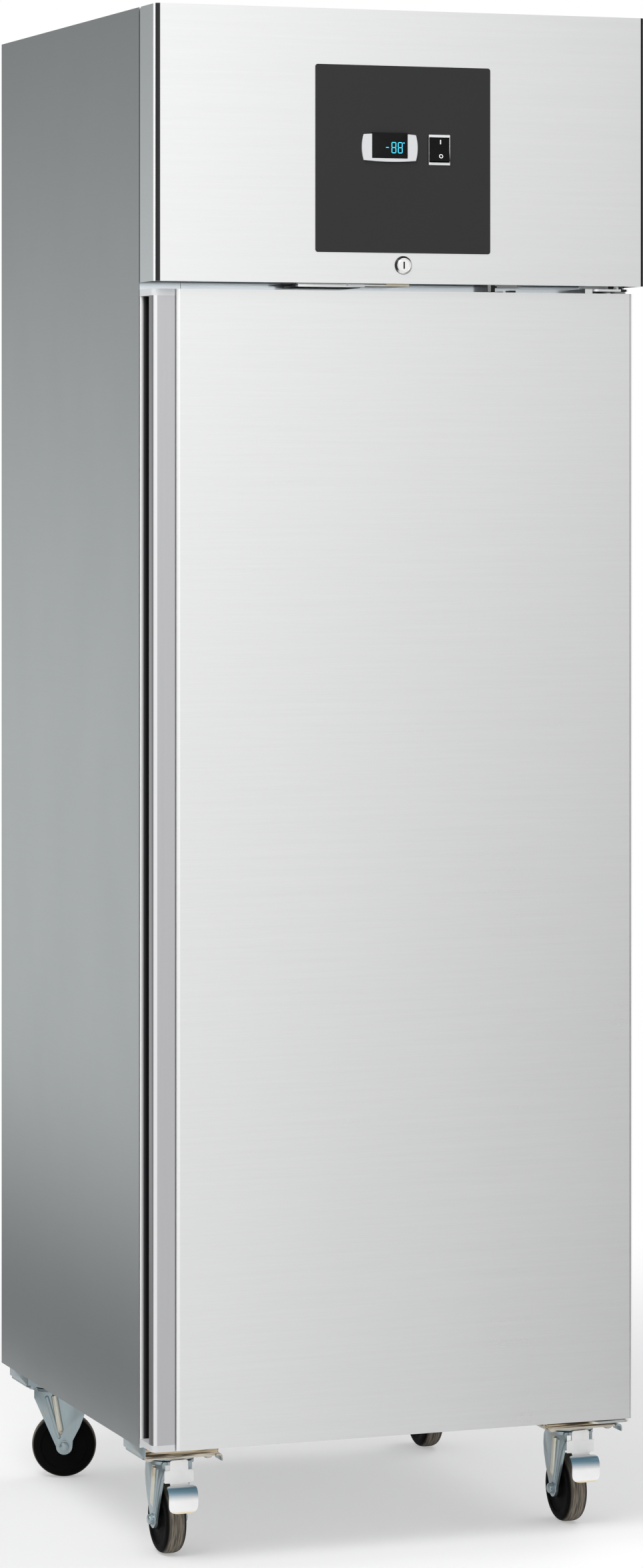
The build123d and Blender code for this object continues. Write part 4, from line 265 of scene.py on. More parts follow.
def grip_metal(colour, grain, low):
    """Brushed extrusion with painted light down its nose: a grey strip of painted shade on its side, a painted
    dark line where it starts to bend, a bright painted highlight on the bend, and a back leg painted white at
    its edge and black further in, painted light turning to painted shade.
    """
    made = brushed("grip_aluminium", colour, grain, 0.36, 0.8)
    x, y, _ = made.axes()
    inward, back = x - low.x, y - low.y
    nose = back.fade(0.0165, 0.0155)
    leg = back.fade(0.0505, 0.0515)
    # painted shade: the nose's side is a darker grey
    made.paint(nose * inward.fade(0.0012, 0.0010), (0.24, 0.24, 0.25))
    # a painted dark line where the nose starts to bend
    made.paint(nose * inward.fade(0.0010, 0.0012) * inward.fade(0.0019, 0.0017), (0.03, 0.03, 0.03))
    # painted highlight: a bright strip down the nose's rounded bend
    made.paint(nose * inward.fade(0.0017, 0.0019) * inward.fade(0.0064, 0.0058), (0.72, 0.72, 0.73))
    # the back leg is painted white at its outer edge, fading to black inside: painted light, then painted
    # shade under the nose
    made.paint(leg, made.mixed(inward.fade(0.0015, 0.0060), (1.0, 1.0, 1.0), (0.02, 0.02, 0.02)))
    made.feed("Metallic", 0.8 - leg * 0.7)
    return made


def groove(low, high):
    """Black lining, partly the plastic's own colour and partly painted shade of the deep groove, painted paler
    towards the opening of the groove as painted light.
    """
    made = moulded("groove_lining", BLACK, "black_plastic", 0.6)
    x, y, _ = made.axes()
    opening = x.fade(low.x + 0.0035, low.x - 0.001) * y.fade(high.y - 0.004, high.y - 0.001)
    # painted light: paler near the opening, where light reaches into the groove
    made.paint(opening, (0.05, 0.05, 0.052))
    made.feed("Specular IOR Level", 0.1)
    return made


def banded(name, slot, dark, light, bands, metallic=0.0):
    """Pale plated parts with black plastic between the given pairs of places along X."""
    made = Finish(name, slot)
    haze = made.noise(60.0, 3.0)
    x = made.axes()[0]
    base, metal = made.tinted(light, 0.92 + haze * 0.1), haze * 0.1 + metallic
    for start, end in bands:
        inside = x.over(start) * x.under(end)
        base = made.mixed(inside, base, dark)
        metal = metal * (1 - inside)
    made.feed("Base Color", base)
    made.feed("Metallic", metal)
    made.feed("Roughness", 0.28 + haze * 0.12)
    return made


def moulded(name, colour, slot, roughness=0.45, grit=2600.0, depth=0.00003):
    """Moulded plastic: fine leather-like grit, faint flow marks and worn, shinier patches."""
    made = Finish(name, slot)
    fine = made.cells(grit)
    flow = made.noise((14.0, 14.0, 5.0))
    worn = made.noise(45.0, 3.0)
    base = made.tinted(colour, 0.95 + flow * 0.07 + fine * 0.03)
    return made.show(base, roughness - 0.07 + worn * 0.14, fine, depth)


def plated(name, colour, warm, roughness=0.26):
    """Zinc plating: cool grey with yellow-brown passivation that gathers in patches, and rolling marks."""
    made = Finish(name, "zinc_plated_steel", metallic=0.92)
    patches = made.noise((26.0, 26.0, 20.8), 3.0)
    rolled = made.noise((900.0, 900.0, 60.0))
    cool = made.tinted(colour, 0.9 + rolled * 0.12 + patches * 0.08)
    base = made.mixed(patches.fade(0.5, 0.72), cool, warm)
    return made.show(base, roughness - 0.05 + patches * 0.16, rolled, 0.00002)


def spangled(name, colour):
    """Galvanised sheet: crystals of slightly different greys, the paler ones duller."""
    made = Finish(name, "galvanised_steel", metallic=0.8)
    crystal = made.node("ShaderNodeTexVoronoi", inputs={"Vector": made.place, "Scale": 95.0}, output="Color")
    shade = made.node("ShaderNodeSeparateXYZ", inputs={0: crystal})
    veil = made.noise(3.0, 3.0)
    base = made.tinted(colour, 0.86 + shade * 0.14 + veil * 0.08)
    return made.show(base, 0.36 + shade * 0.14, shade, 0.00002)


def painted(name, colour):
    """Sprayed paint with orange peel and thin, patchy dust."""
    made = Finish(name, "black_paint", coat_weight=0.3)
    skin = made.noise(240.0)
    dust = made.noise(18.0, 5.0)
    base = made.tinted(colour, 0.9 + skin * 0.1 + dust.fade(0.45, 0.8) * 0.5)
    return made.show(base, 0.3 + dust * 0.2, skin, 0.00006)


def rubber(name, colour, worn):
    """Black wheel whose tread is brown in streaks round it, partly rolled wear and partly a painted sheen. The
    wheel's own attributes tell how far a point belongs to the tread, and its place across and round it."""
    made = Finish(name, "wheel", specular_ior_level=0.04)
    scuff = made.noise(110.0, 5.0)
    tread = made.node("ShaderNodeAttribute", {"attribute_name": "tread"}, output="Fac")
    rolled = made.node("ShaderNodeAttribute", {"attribute_name": "rolled"}, output="Vector")
    streaks = made.node("ShaderNodeTexNoise", inputs={"Vector": rolled, "Scale": 700.0, "Detail": 4.0})
    # brown streaks on the tread: partly wear, partly a painted sheen
    mask = tread * streaks.fade(0.32, 0.66, 0.3, 1.0)
    base = made.mixed(mask, made.tinted(colour, 0.85 + scuff * 0.3), worn)
    return made.show(base, 0.5 + scuff * 0.25, scuff, 0.00012)


def castor_plating(colour, gold, brown):
    """Zinc, blue-grey on the forks and the rear pair; the front pair's plates and brackets have turned gold,
    with brown streaks along X, and low on them, at the plates' front edges, a pale cream painted highlight."""
    made = Finish("castor_zinc", "zinc_plated_steel")
    patches = made.noise((26.0, 26.0, 20.0), 3.0)
    rolled = made.noise((900.0, 900.0, 60.0))
    streaks = made.noise((13.0, 150.0, 420.0), 4.0)
    x, y, z = made.axes()
    front = z.fade(0.1285, 0.1325) * y.fade(-0.10, -0.16)
    turned_gold = front * (1 - abs(x).fade(0.3295, 0.3310))
    cool = made.tinted(colour, 0.86 + rolled * 0.16 + patches * 0.12)
    base = made.mixed(patches.fade(0.56, 0.78, 0.0, 0.7), cool, gold)
    # painted highlight: pale cream low down, on the front plates' edges; gold above on the brackets
    warm = made.mixed(z.fade(0.1390, 0.1365), made.tinted(gold, 0.9 + patches * 0.5), (0.66, 0.61, 0.52))
    base = made.mixed(turned_gold, base, warm)
    base = made.mixed(turned_gold * streaks.fade(0.48, 0.58) * z.fade(0.1345, 0.1380, 0.35, 1.0), base, brown)
    made.feed("Metallic", 0.85 - front * 0.35)
    return made.show(base, 0.24 + patches * 0.16, rolled, 0.00002)


def collar_chrome(centre, face_radius):
    """Bright plating; the collar's side wall is painted dark at its upper left, a painted reflection, and
    round its outer rim away from the upper right, a painted shadow.
    """
    made = polished("lock_chrome", (0.86, 0.86, 0.85), 0.16)
    x, _, z = made.axes()
    across, up = x - centre[0], z - centre[2]
    reach = (across * across + up * up) ** 0.5
    wall = reach.fade(face_radius, face_radius + 0.0003)
    edge = reach.fade(0.0111, 0.0114) * (across * 0.8 + up * 0.6).fade(0.0085, 0.0055)
    dark = (up * 0.8 - across * 0.6).fade(-0.0045, 0.0015) + edge * 0.7
    # painted reflection and painted shadow on the collar's wall, with less metal where it is painted dark
    made.paint(wall * dark, (0.012, 0.012, 0.013))
    made.feed("Metallic", 1.0 - wall * dark * 0.5 - (1 - wall) * 0.5)
    return made


def foamed(name):
    """Cut rigid foam: cells of many sizes."""
    made = Finish(name, "foam")
    coarse = made.cells(700.0)
    return made.show(made.tinted(FOAM_COLOUR, 0.8 + coarse * 0.3), 0.9, coarse, 0.0004)


def finned(name, colour):
    """Thin aluminium fins with rolled ripples along the air's way and dust on their edges."""
    made = Finish(name, "aluminium_fins", metallic=0.8)
    values = {"Vector": made.place, "Scale": 70.0, "Distortion": 1.5, "Detail": 2.0}
    ripple = made.node("ShaderNodeTexWave", {"bands_direction": "Z"}, values)
    dust = made.noise((30.0, 12.0, 12.0), 4.0)
    return made.show(made.tinted(colour, 0.8 + (ripple + dust) * 0.12), 0.3 + dust * 0.2, ripple, 0.0003)


def drawn_copper(name):
    """Drawn copper pipe: draw lines, and darker, browner patches."""
    made = Finish(name, "copper", metallic=0.95)
    oxide = made.noise(22.0, 4.0)
    lines = made.noise((1400.0, 1400.0, 90.0), 1.0)
    base = made.mixed(oxide.fade(0.45, 0.75), COPPER_COLOUR, (0.22, 0.09, 0.05))
    return made.show(base, 0.22 + oxide * 0.3, lines, 0.00002)


def hazed(name, slot, colour, scale, detail, tone, rough, depth, **constants):
    """A finish whose one noise sets tone and roughness, each by (least, spread), and is the relief."""
    made = Finish(name, slot, **constants)
    haze = made.noise(scale, detail)
    return made.show(made.tinted(colour, tone[0] + haze * tone[1]), rough[0] + haze * rough[1], haze, depth)


def coated_wire(name, colour):
    """Dipped coating on wire, slightly uneven."""
    return hazed(name, "coated_wire", colour, (60.0, 60.0, 200.0), 2.0, (0.92, 0.1), (0.22, 0.16), 0.0002,
                 coat_weight=0.4)


def polished(name, colour, roughness=0.1, metallic=1.0):
    """Bright plating with a faint haze."""
    return hazed(name, "chrome", colour, 80.0, 3.0, (0.94, 0.1), (roughness, 0.1), 0.00004, metallic=metallic)


def smoked_window(name, colour):
    """Dark window with a faint moulded ripple."""
    return hazed(name, "display", colour, 130.0, 2.0, (0.85, 0.3), (0.25, 0.1), 0.00002,
                 specular_ior_level=0.15)


def pedal_chrome():
    """Bright plating, with the blue reflection that fades down the bent top of the foot pad."""
    made = polished("pedal_chrome", (0.99, 0.99, 0.99), 0.16, 0.15)
    z = made.axes()[2]
    made.paint(z.fade(0.0800, 0.0930) * z.fade(0.0985, 0.0960), (0.14, 0.27, 0.36))
    made.paint(z.fade(0.0680, 0.0650), (0.86, 0.72, 0.46))
    return made


def glowing(name, colour, strength):
    """Lit display segments, a little brighter at their middles."""
    made = Finish(name, "display", roughness=0.35, emission_strength=strength)
    flicker = made.noise(900.0, 1.0)
    made.feed("Base Color", made.tinted(colour, 0.25 + flicker * 0.1))
    made.feed("Emission Color", made.tinted(colour, 0.9 + flicker * 0.2))
    return made


def extruded_seal(name, colour):
    """Soft seal: matt, with fine lines along its length and a bloom of talc."""
    made = Finish(name, "gasket")
    talc = made.noise(35.0, 4.0)
    lines = made.noise((8.0, 2400.0, 8.0), 1.0)
    return made.show(made.tinted(colour, 0.85 + talc * 0.25), 0.55 + talc * 0.2, lines, 0.00005)


# Surfaces
def unit(vectors):
    """The same directions with a length of 1."""
    return vectors / np.linalg.norm(vectors, axis=-1, keepdims=True)


def quads(rows, columns, loop_rows=True, loop_columns=False):
    """Faces of a grid of points, joined end to start where it loops."""
    index = np.arange(rows * columns).reshape(rows, columns)
    if loop_rows:
        index = np.vstack([index, index[:1]])
    if loop_columns:
        index = np.hstack([index, index[:, :1]])
    return np.stack([index[:-1, :-1], index[1:, :-1], index[1:, 1:], index[:-1, 1:]], -1).reshape(-1, 4)


def turned(profile, steps=48, ring=False):
    """Points (radius, height) turned about Z: x is r cos a, y is r sin a, z is the height."""
    angle = np.linspace(0, tau, steps, endpoint=False)[:, None]
    radius, height = np.array(profile, float).T
    points = np.stack([radius * np.cos(angle), radius * np.sin(angle), height + 0 * angle], -1)
    return points, quads(steps, len(radius), True, ring)


def washer(outer, inner, thick, steps):
    """Flat ring."""
    return turned([(outer, 0), (outer, thick), (inner, thick), (inner, 0)], steps, True)


def layered(flat, depth, ring=False):
    """A wall through outlines that each have their own depth; a ring's section is closed."""
    level = np.broadcast_to(depth[None, :, None], (*flat.shape[:2], 1))
    return np.concatenate([flat, level], -1), quads(*flat.shape[:2], True, ring)


def slab(outline, thick, edge, share):
    """A plate with that outline, which slopes in to a share of its size over the height called edge."""
    outline = np.array(outline, float)
    middle = outline.mean(0)
    scale, height = np.array([(0, 0), (1, 0), (1, thick - edge), (share, thick), (0, thick)]).T
    return layered(middle + scale[None, :, None] * (outline - middle)[:, None, :], height)


def bordered(width, height, corner, section, ring=True, steps=6):
    """A section of (outward, depth) points carried round a rounded rectangle."""
    angle = (np.arange(4)[:, None] * tau / 4 + np.linspace(0, tau / 4, steps)).ravel()
    across = np.repeat([1, -1, -1, 1], steps) * (width / 2 - corner)
    along = np.repeat([1, 1, -1, -1], steps) * (height / 2 - corner)
    middles, ways = np.stack([across, along], -1), np.stack([np.cos(angle), np.sin(angle)], -1)
    out, depth = np.array(section, float).T
    return layered(middles[:, None] + (corner + out)[:, None] * ways[:, None], depth, ring)


def plate(width, height, corner, thick, edge):
    """Rounded rectangle with a soft edge: a quarter-round section, closed to the middle on both faces."""
    turn = np.linspace(0, tau / 4, 4)
    out = np.concatenate([-edge + edge * np.sin(turn), -edge + edge * np.cos(turn)])
    depth = np.concatenate([edge - edge * np.cos(turn), thick - edge + edge * np.sin(turn)])
    wall, _ = bordered(width, height, corner, np.stack([out, depth], -1), False)
    foot = wall[:, :1] * 0
    points = np.concatenate([foot, wall, foot + (0, 0, thick)], 1)
    return points, quads(*points.shape[:2])


def capped(loops):
    """A skin over rows of closed loops, drawn together to a point at both ends."""
    poles = [np.broadcast_to(loops[end].mean(0), (1, *loops[end].shape)) for end in (0, -1)]
    points = np.concatenate([poles[0], loops, poles[1]])
    return points, quads(*points.shape[:2], False, True)


def tube(path, radius, steps=12):
    """Round section carried along points; each ring stands square to the path."""
    path = np.array(path, float)
    way = unit(np.gradient(path, axis=0))
    aside = unit(np.cross(way, np.where(np.abs(way[:, 2:]) > 0.9, [RIGHT], [UP])))
    angle = np.linspace(0, tau, steps, endpoint=False)[:, None]
    ring = np.cos(angle) * aside[:, None] + np.sin(angle) * np.cross(aside, way)[:, None]
    return capped(path[:, None] + radius * ring)


def bent_sheet(path, blank, thick):
    """Sheet bent along a path of (y, z). At a distance down the path it reaches as far to both sides along X
    as the blank says; its section there is a flat bar with round edges, square to the path."""
    path = np.array(path, float)
    travel = np.concatenate([[0], np.cumsum(np.linalg.norm(np.diff(path, axis=0), axis=1))])
    along = np.union1d(np.linspace(0, travel[-1], 60), blank[:, 0].clip(0, travel[-1]))
    reach = np.interp(along, *blank.T)[:, None]
    middle = np.stack([np.interp(along, travel, part) for part in path.T], -1)
    way = unit(np.gradient(middle, along, axis=0))
    out = np.stack([-way[:, 1], way[:, 0]], -1)
    turn = np.linspace(-tau / 4, tau / 4, 5)
    turn = np.concatenate([turn, turn + tau / 2])
    across = np.sign(np.cos(turn).round(6) + np.repeat([1e-3, -1e-3], 5)) * (reach - thick / 2)
    across = across + thick / 2 * np.cos(turn)
    off = middle[:, None, :] + thick / 2 * np.sin(turn)[None, :, None] * out[:, None, :]
    return capped(np.concatenate([across[..., None], off], -1))


def dome(radius, height):
    """Round head: a short straight side under a low vault."""
    share = [(0, 0), (1, 0), (1, 0.25), (0.95, 0.5), (0.8, 0.76), (0.52, 0.94), (0.25, 0.99), (0, 1)]
    return turned(np.array(share) * (radius, height), 24)


def arc(start, middle, end, steps=10):
    """Quadratic curve from start to end that leaves and arrives towards middle."""
    share = np.linspace(0, 1, steps)[:, None]
    start, middle, end = (np.array(point, float) for point in (start, middle, end))
    return (1 - share) ** 2 * start + 2 * share * (1 - share) * middle + share**2 * end


def screw_head(radius, height):
    """Domed head with a cross pressed into it: it dips where a point is near either axis of the cross."""
    angle = np.linspace(0, tau, 32, endpoint=False)[:, None]
    reach = np.array([0, 0.12, 0.24, 0.36, 0.5, 0.62, 0.8, 0.93, 1.0])
    x, y = reach * np.cos(angle), reach * np.sin(angle)
    near = np.minimum(np.abs(x), np.abs(y))
    dip = np.clip((0.2 - near) / 0.1, 0, 1) * (reach < 0.6)
    rise = height * (0.35 + 0.65 * np.sqrt(np.clip(1 - reach**2, 0, 1))) - dip * height * 0.5
    vault = np.stack([x * radius, y * radius, rise + 0 * x], -1)
    foot = np.stack([radius * np.cos(angle), radius * np.sin(angle), 0 * angle], -1)
    points = np.concatenate([vault, foot, foot * 0], 1)
    return points, quads(*points.shape[:2])


def hex_bolt(radius, height):
    """Six-sided head with a chamfered top on a thin washer."""
    corners = np.linspace(0, tau, 6, endpoint=False)
    outline = radius * np.stack([np.cos(corners), np.sin(corners)], -1)
    base = turned([(0, 0), (radius * 1.35, 0), (radius * 1.35, height * 0.2), (0, height * 0.2)], 24)
    return [slab(outline, height, height * 0.18, 0.9), base]


def placed(shape, origin, facing=UP, upright=UP):
    """Moves a shape so that its Z points along facing and its Y as near as can be along upright."""
    points, faces = shape
    normal = unit(np.array(facing, float))
    up = np.array(upright, float) - normal * np.dot(upright, normal)
    if np.linalg.norm(up) < 1e-6:
        up = np.array([0, 1.0, 0]) - normal * normal[1]
    up = unit(up)
    turn = np.stack([np.cross(up, normal), up, normal])
    return points @ turn + np.array(origin, float), faces


def spread(parts, xs, ys, zs, facing=UP):
    """The same parts wherever the given planes meet."""
    return [placed(part, (x, y, z), facing) for x in xs for y in ys for z in zs for part in parts]


def linked(name, data):
    """A new object with that data, in the scene."""
    made = bpy.data.objects.new(name, data)
    bpy.context.scene.collection.objects.link(made)
    return made


def make_piece(name, shapes, finish, body, sharp=32.0):
    """Joins shapes into one mesh in the frame's own place, its poles merged and its faces outwards."""
    points = [np.asarray(shape[0]).reshape(-1, 3) for shape in shapes]
    starts = np.cumsum([0] + [len(part) for part in points[:-1]])
    faces = np.concatenate([shape[1] + start for shape, start in zip(shapes, starts)])
    mesh = bpy.data.meshes.new(name)
    mesh.from_pydata(np.concatenate(points), [], faces)
    work = bmesh.new()
    work.from_mesh(mesh)
    bmesh.ops.remove_doubles(work, verts=work.verts, dist=2e-6)
    bmesh.ops.dissolve_degenerate(work, edges=work.edges, dist=1e-7)
    bmesh.ops.recalc_face_normals(work, faces=work.faces)
    work.to_mesh(mesh)
    work.free()
    mesh.shade_smooth()
    mesh.set_sharp_from_angle(angle=radians(sharp))
    mesh.materials.append(finish.material)
    piece = linked(name, mesh)
    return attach(piece, body)


def joint(name):
    """A joint's place, its axis and the body that it moves."""
    known = next(known for known in frame["joints"] if known["name"] == name)
    return np.array(known["pos_m"]), np.array(known["axis"], float), known["child"]


def dress(finish, *nodes):
    """Gives CAD sub-parts a finish."""
    for node in nodes:
        mesh = frame["nodes"][node].data
        mesh.materials.clear()
        mesh.materials.append(finish.material)


# What a user would change
def colour_setting(name, description, default):
    return FloatVectorProperty(name=name, description=description, size=3, subtype="COLOR", min=0, max=1,
                               default=default)


def number_setting(name, description, default, least, most, **unit):
    return FloatProperty(name=name, description=description, default=default, min=least, max=most, **unit)


class SteelSettings(bpy.types.PropertyGroup):
    front: colour_setting("Front sheet", "Colour of the door and the hood", (0.78, 0.785, 0.785))
    # the sides are a darker bluish grey than the front: partly a darker tone, partly painted shade of the
    # sides
    side: colour_setting("Side sheet", "Colour of the cabinet's sides", (0.310, 0.336, 0.340))
    inside: colour_setting("Lining", "Colour of the steel inside", (0.70, 0.71, 0.72))
    grain: number_setting("Grain width", "Distance from one brushed line to the next", 0.0008, 0.0002, 0.005,
                          unit="LENGTH")


class ControlSettings(bpy.types.PropertyGroup):
    digit_height: number_setting("Digit height", "Height of the figures", 0.0145, 0.005, 0.02, unit="LENGTH")
    digit_width: number_setting("Digit width", "Width of one lit figure", 0.0065, 0.003, 0.012, unit="LENGTH")
    glow: colour_setting("Display light", "Colour of the lit figures", (0.05, 0.62, 0.86))
    glow_strength: number_setting("Display strength", "How strongly the figures shine", 1.35, 0, 10)
    panel: colour_setting("Control plate", "Colour of the plate behind the controls", (0.024, 0.024, 0.025))


class CastorSettings(bpy.types.PropertyGroup):
    zinc: colour_setting("Zinc", "Colour of the plated castor parts", (0.36, 0.43, 0.455))
    tread: colour_setting("Tread", "Colour of the wheels", (0.003, 0.003, 0.003))
    wheel_steps: IntProperty(name="Wheel steps", description="Steps round each wheel", default=72, min=24,
                             max=160)


class StudioSettings(bpy.types.PropertyGroup):
    lens: number_setting("Lens", "Focal length for the photograph's view", 113.14, 20, 300, unit="CAMERA")
    ambient: number_setting("Ambient light", "Strength of the soft light from all round", 0.55, 0, 2)
    key: number_setting("Key lamp", "Power of the large lamp at the front left", 165.0, 0, 3000, unit="POWER")


class DressingOperator(bpy.types.Operator):
    """Shared settings of the operators that dress the refrigerator"""

    bl_idname = "refrigerator.base"
    bl_label = "Dress"
    bl_options = {"REGISTER", "UNDO"}

    def execute(self, context):
        self.build(context.scene)
        return {"FINISHED"}


# Cabinet
def add_louvres(finish):
    """Hoods over the grille's slots, inside the sheet: a quarter-round brow that dies out at both ends."""
    low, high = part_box("rear_grille")
    across = np.linspace(-1, 1, 17)[:, None]
    turn = np.linspace(0, tau / 4, 7)[None, :]
    bulge = np.sqrt(np.clip(1 - across**4, 0, 1))
    half, deep, tall, thick = 0.090, 0.010, 0.011, 0.0008
    column_pitch, row_pitch, first_row, sheet = 0.206, 0.026, 0.039, 0.001
    shapes = []
    for column in (-1, 0, 1):
        for row in range(11):
            x = column * column_pitch + across * half + 0 * turn
            y = high.y - sheet - deep * bulge * np.sin(turn)
            z = low.z + first_row + row * row_pitch + tall * bulge * np.cos(turn) + 0 * across
            wall = np.stack([x, y, z], -1)
            points = np.concatenate([wall, (wall - (0, 0, thick))[:, ::-1]], 1)
            shapes.append((points, quads(*points.shape[:2], False, True)))
    make_piece("grille_louvres", shapes, finish, "root")


class DressCabinet(DressingOperator):
    """Finish the cabinet's outer sheets, frame, insulation and rear grille"""

    bl_idname = "refrigerator.cabinet"
    bl_label = "Cabinet"

    def build(self, scene):
        steel = scene.refrigerator_steel
        fine = 1 / steel.grain
        # darker than the front sheet: partly the sheet's tone, partly painted shade of the sides
        side = brushed("side_sheet", tuple(steel.side), (fine, 26.0, fine), 0.34, 0.9)
        dress(side, "left_side_panel", "right_side_panel")
        dress(frame_steel(tuple(steel.front), (24.0, fine, fine)), "front_frame", "bottom_panel")
        dress(spangled("galvanised_sheet", (0.60, 0.62, 0.63)), "back_panel", "top_deck")
        dress(foamed("insulation"), "foam_shell")
        grille = spangled("grille_sheet", (0.62, 0.64, 0.65))
        dress(grille, "rear_grille")
        add_louvres(grille)
        dress(moulded("drain_tube", (0.72, 0.73, 0.74), "light_plastic"), "drain_pipe")
        dress(moulded("tray_plastic", (0.50, 0.51, 0.52), "grey_plastic"), "condensate_tray")


# Inside
def add_interior_screws(finish):
    """Screws in the front of the cooler's cover and down the four slotted uprights."""
    cover_x, cover_y, upright_ys = 0.238, 0.020, (-0.215, 0.225)
    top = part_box("evaporator_cover")[1].z
    rows = (top - 0.012, top - 0.105)
    shapes = spread([screw_head(0.0042, 0.0022)], (-cover_x, cover_x), (cover_y,), rows, FRONT)
    low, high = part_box("shelf_uprights")
    small = [screw_head(0.0036, 0.0018)]
    heights = (low.z + 0.018, (low.z + high.z) / 2 + 0.022, high.z - 0.018)
    for side in SIDES:
        shapes += spread(small, (side * (high.x - 0.008),), upright_ys, heights, (-side, 0, 0))
    make_piece("interior_screws", shapes, finish, "root")


def make_fan(name, node, spin, finish):
    """Twisted blades on a domed hub in a CAD fan's place. A blade point is at a radius, turned by its place
    across the blade, and lifted by that place times a pitch that falls off outwards."""
    _, axis, body = joint(spin)
    low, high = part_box(node)
    middle, size = np.array((low + high) / 2), np.array(high - low)
    deep = abs(size @ axis) / 2
    radius = (size.sum() - abs(size @ axis)) / 4 * 0.985
    hub, root, margin = radius * 0.27, radius * 0.27 * 0.8, 0.0008
    blades, sweep, thick = 5, 0.25, 0.0014
    along = np.linspace(0, 1, 12)[:, None]
    across = np.linspace(-1, 1, 11)[None, :]
    reach = root + (radius - root) * along
    round_tip = np.sqrt(np.clip(1 - (along * 0.97) ** 8, 0, 1))
    width = radius * (0.16 + 0.24 * np.sin(along * tau / 4) * round_tip)
    lean = across * width / reach + sweep * along
    lift = -across * (deep - margin) * (0.95 - 0.3 * along)
    shapes = []
    for blade in range(blades):
        angle = lean + blade * tau / blades
        skin = np.stack([reach * np.cos(angle), reach * np.sin(angle), lift + 0 * angle], -1)
        back = skin - (0, 0, thick)
        shapes.append(placed(capped(np.concatenate([skin, back[:, ::-1]], 1)), middle, axis))
    profile = [(0, -deep), (hub * 0.8, -deep), (hub * 0.97, -deep * 0.8), (hub, 0), (hub * 0.98, deep * 0.6),
               (hub * 0.86, deep * 0.85), (hub * 0.3, deep * 0.98), (0, deep)]
    shapes.append(placed(turned(profile, 40), middle, axis))
    made = make_piece(name, shapes, finish, body)
    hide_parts(node)


class DressInterior(DressingOperator):
    """Finish the lining, shelves and air cooler, and add their screws and fan blades"""

    bl_idname = "refrigerator.interior"
    bl_label = "Storage compartment"

    def build(self, scene):
        steel = scene.refrigerator_steel
        fine = 1 / steel.grain
        lining = brushed("lining_sheet", tuple(steel.inside), (24.0, 24.0, fine), 0.34, 0.8)
        dress(lining, "inner_liner", "shelf_uprights", "shelf_runners")
        dress(coated_wire("shelf_coating", (0.70, 0.71, 0.72)), "wire_shelves")
        dress(brushed("cooler_sheet", (0.74, 0.75, 0.76), (24.0, fine, fine), 0.4, 0.6), "evaporator_cover")
        dress(finned("cooler_fins", (0.78, 0.79, 0.80)), "evaporator_coil")
        dress(painted("fan_motor", (0.10, 0.10, 0.105)), "evaporator_fan_motor")
        blades = moulded("fan_blades", BLADE_COLOUR, "black_plastic", 0.38)
        make_fan("cooler_fan", "evaporator_fan_blade", "evaporator_fan_spin", blades)
        add_interior_screws(polished("screw_plating", (0.72, 0.73, 0.74), 0.22))


# Machine bay
class DressMachineBay(DressingOperator):
    """Finish the compressor, condenser, pipes and electrical box, and add their bolts and process tube"""

    bl_idname = "refrigerator.machine_bay"
    bl_label = "Machine bay"

    def build(self, scene):
        dress(painted("compressor_paint", (0.022, 0.022, 0.023)), "compressor")
        dress(finned("condenser_fins", (0.10, 0.10, 0.105)), "condenser_coil")
        dress(painted("shroud_paint", (0.05, 0.05, 0.052)), "condenser_shroud")
        dress(painted("bay_motor", (0.12, 0.12, 0.125)), "condenser_fan_motor")
        dress(drawn_copper("copper_pipe"), "refrigerant_pipes", "filter_drier")
        dress(moulded("box_plastic", (0.42, 0.43, 0.44), "grey_plastic"), "electrical_box")
        blades = moulded("bay_fan_blades", BLADE_COLOUR, "black_plastic", 0.38)
        make_fan("bay_fan", "condenser_fan_blade", "condenser_fan_spin", blades)
        low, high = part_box("compressor")
        x, y = 0.180, -0.070  # the compressor's middle
        feet = (x - 0.087, x + 0.087), (y - 0.062, y + 0.062), (low.z + 0.019,)
        bolts = plated("bay_bolts", (0.66, 0.66, 0.62), (0.60, 0.52, 0.30))
        make_piece("compressor_bolts", spread(hex_bolt(0.0055, 0.0045), *feet), bolts, "root")
        stub = arc((x - 0.03, y + 0.055, high.z - 0.03), (x - 0.03, y + 0.055, high.z + 0.03),
                   (x - 0.03, y + 0.11, high.z + 0.02), 14)
        make_piece("process_tube", [tube(stub, 0.0032)], drawn_copper("process_copper"), "root")
        low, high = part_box("electrical_box")
        lid = (low.x + 0.010, high.x - 0.010), (low.y + 0.010, high.y - 0.010), (high.z,)
        make_piece("box_lid_screws", spread([screw_head(0.0036, 0.0018)], *lid), bolts, "root")


# Hood
def add_bezel(pale, dark):
    """Plate with bowed edges and nearly sharp corners in place of the plain rounded one, and its pane."""
    low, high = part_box("controller_bezel")
    trim = Vector((0.0008, 0, 0.0006))
    middle = (low + high) / 2 - trim
    wide, _, tall = (high - low) / 2 - trim
    bow_end, bow_side = 0.0025, 0.0016
    corner = np.array([wide - bow_end, tall - bow_side])
    top = arc(corner, (0, tall + bow_side), corner * (-1, 1))
    left = arc(corner * (-1, 1), (-wide - bow_end, 0), -corner)
    half = np.concatenate([top[:-1], left[:-1]])
    shape = slab(np.concatenate([half, -half]), high.y - BEZEL_FACE, 0.0007, 0.985)
    made = make_piece("display_bezel", [placed(shape, (middle.x, high.y, middle.z), FRONT)], pale, "hood")
    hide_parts("controller_bezel")
    pane_x, pane_z = middle.x - 0.0005, 1.8340
    pane = plate(0.0494, 0.0332, 0.0004, high.y - PANE_FACE, 0.0001)
    make_piece("display_pane", [placed(pane, (pane_x, high.y, pane_z), FRONT)], dark, "hood")


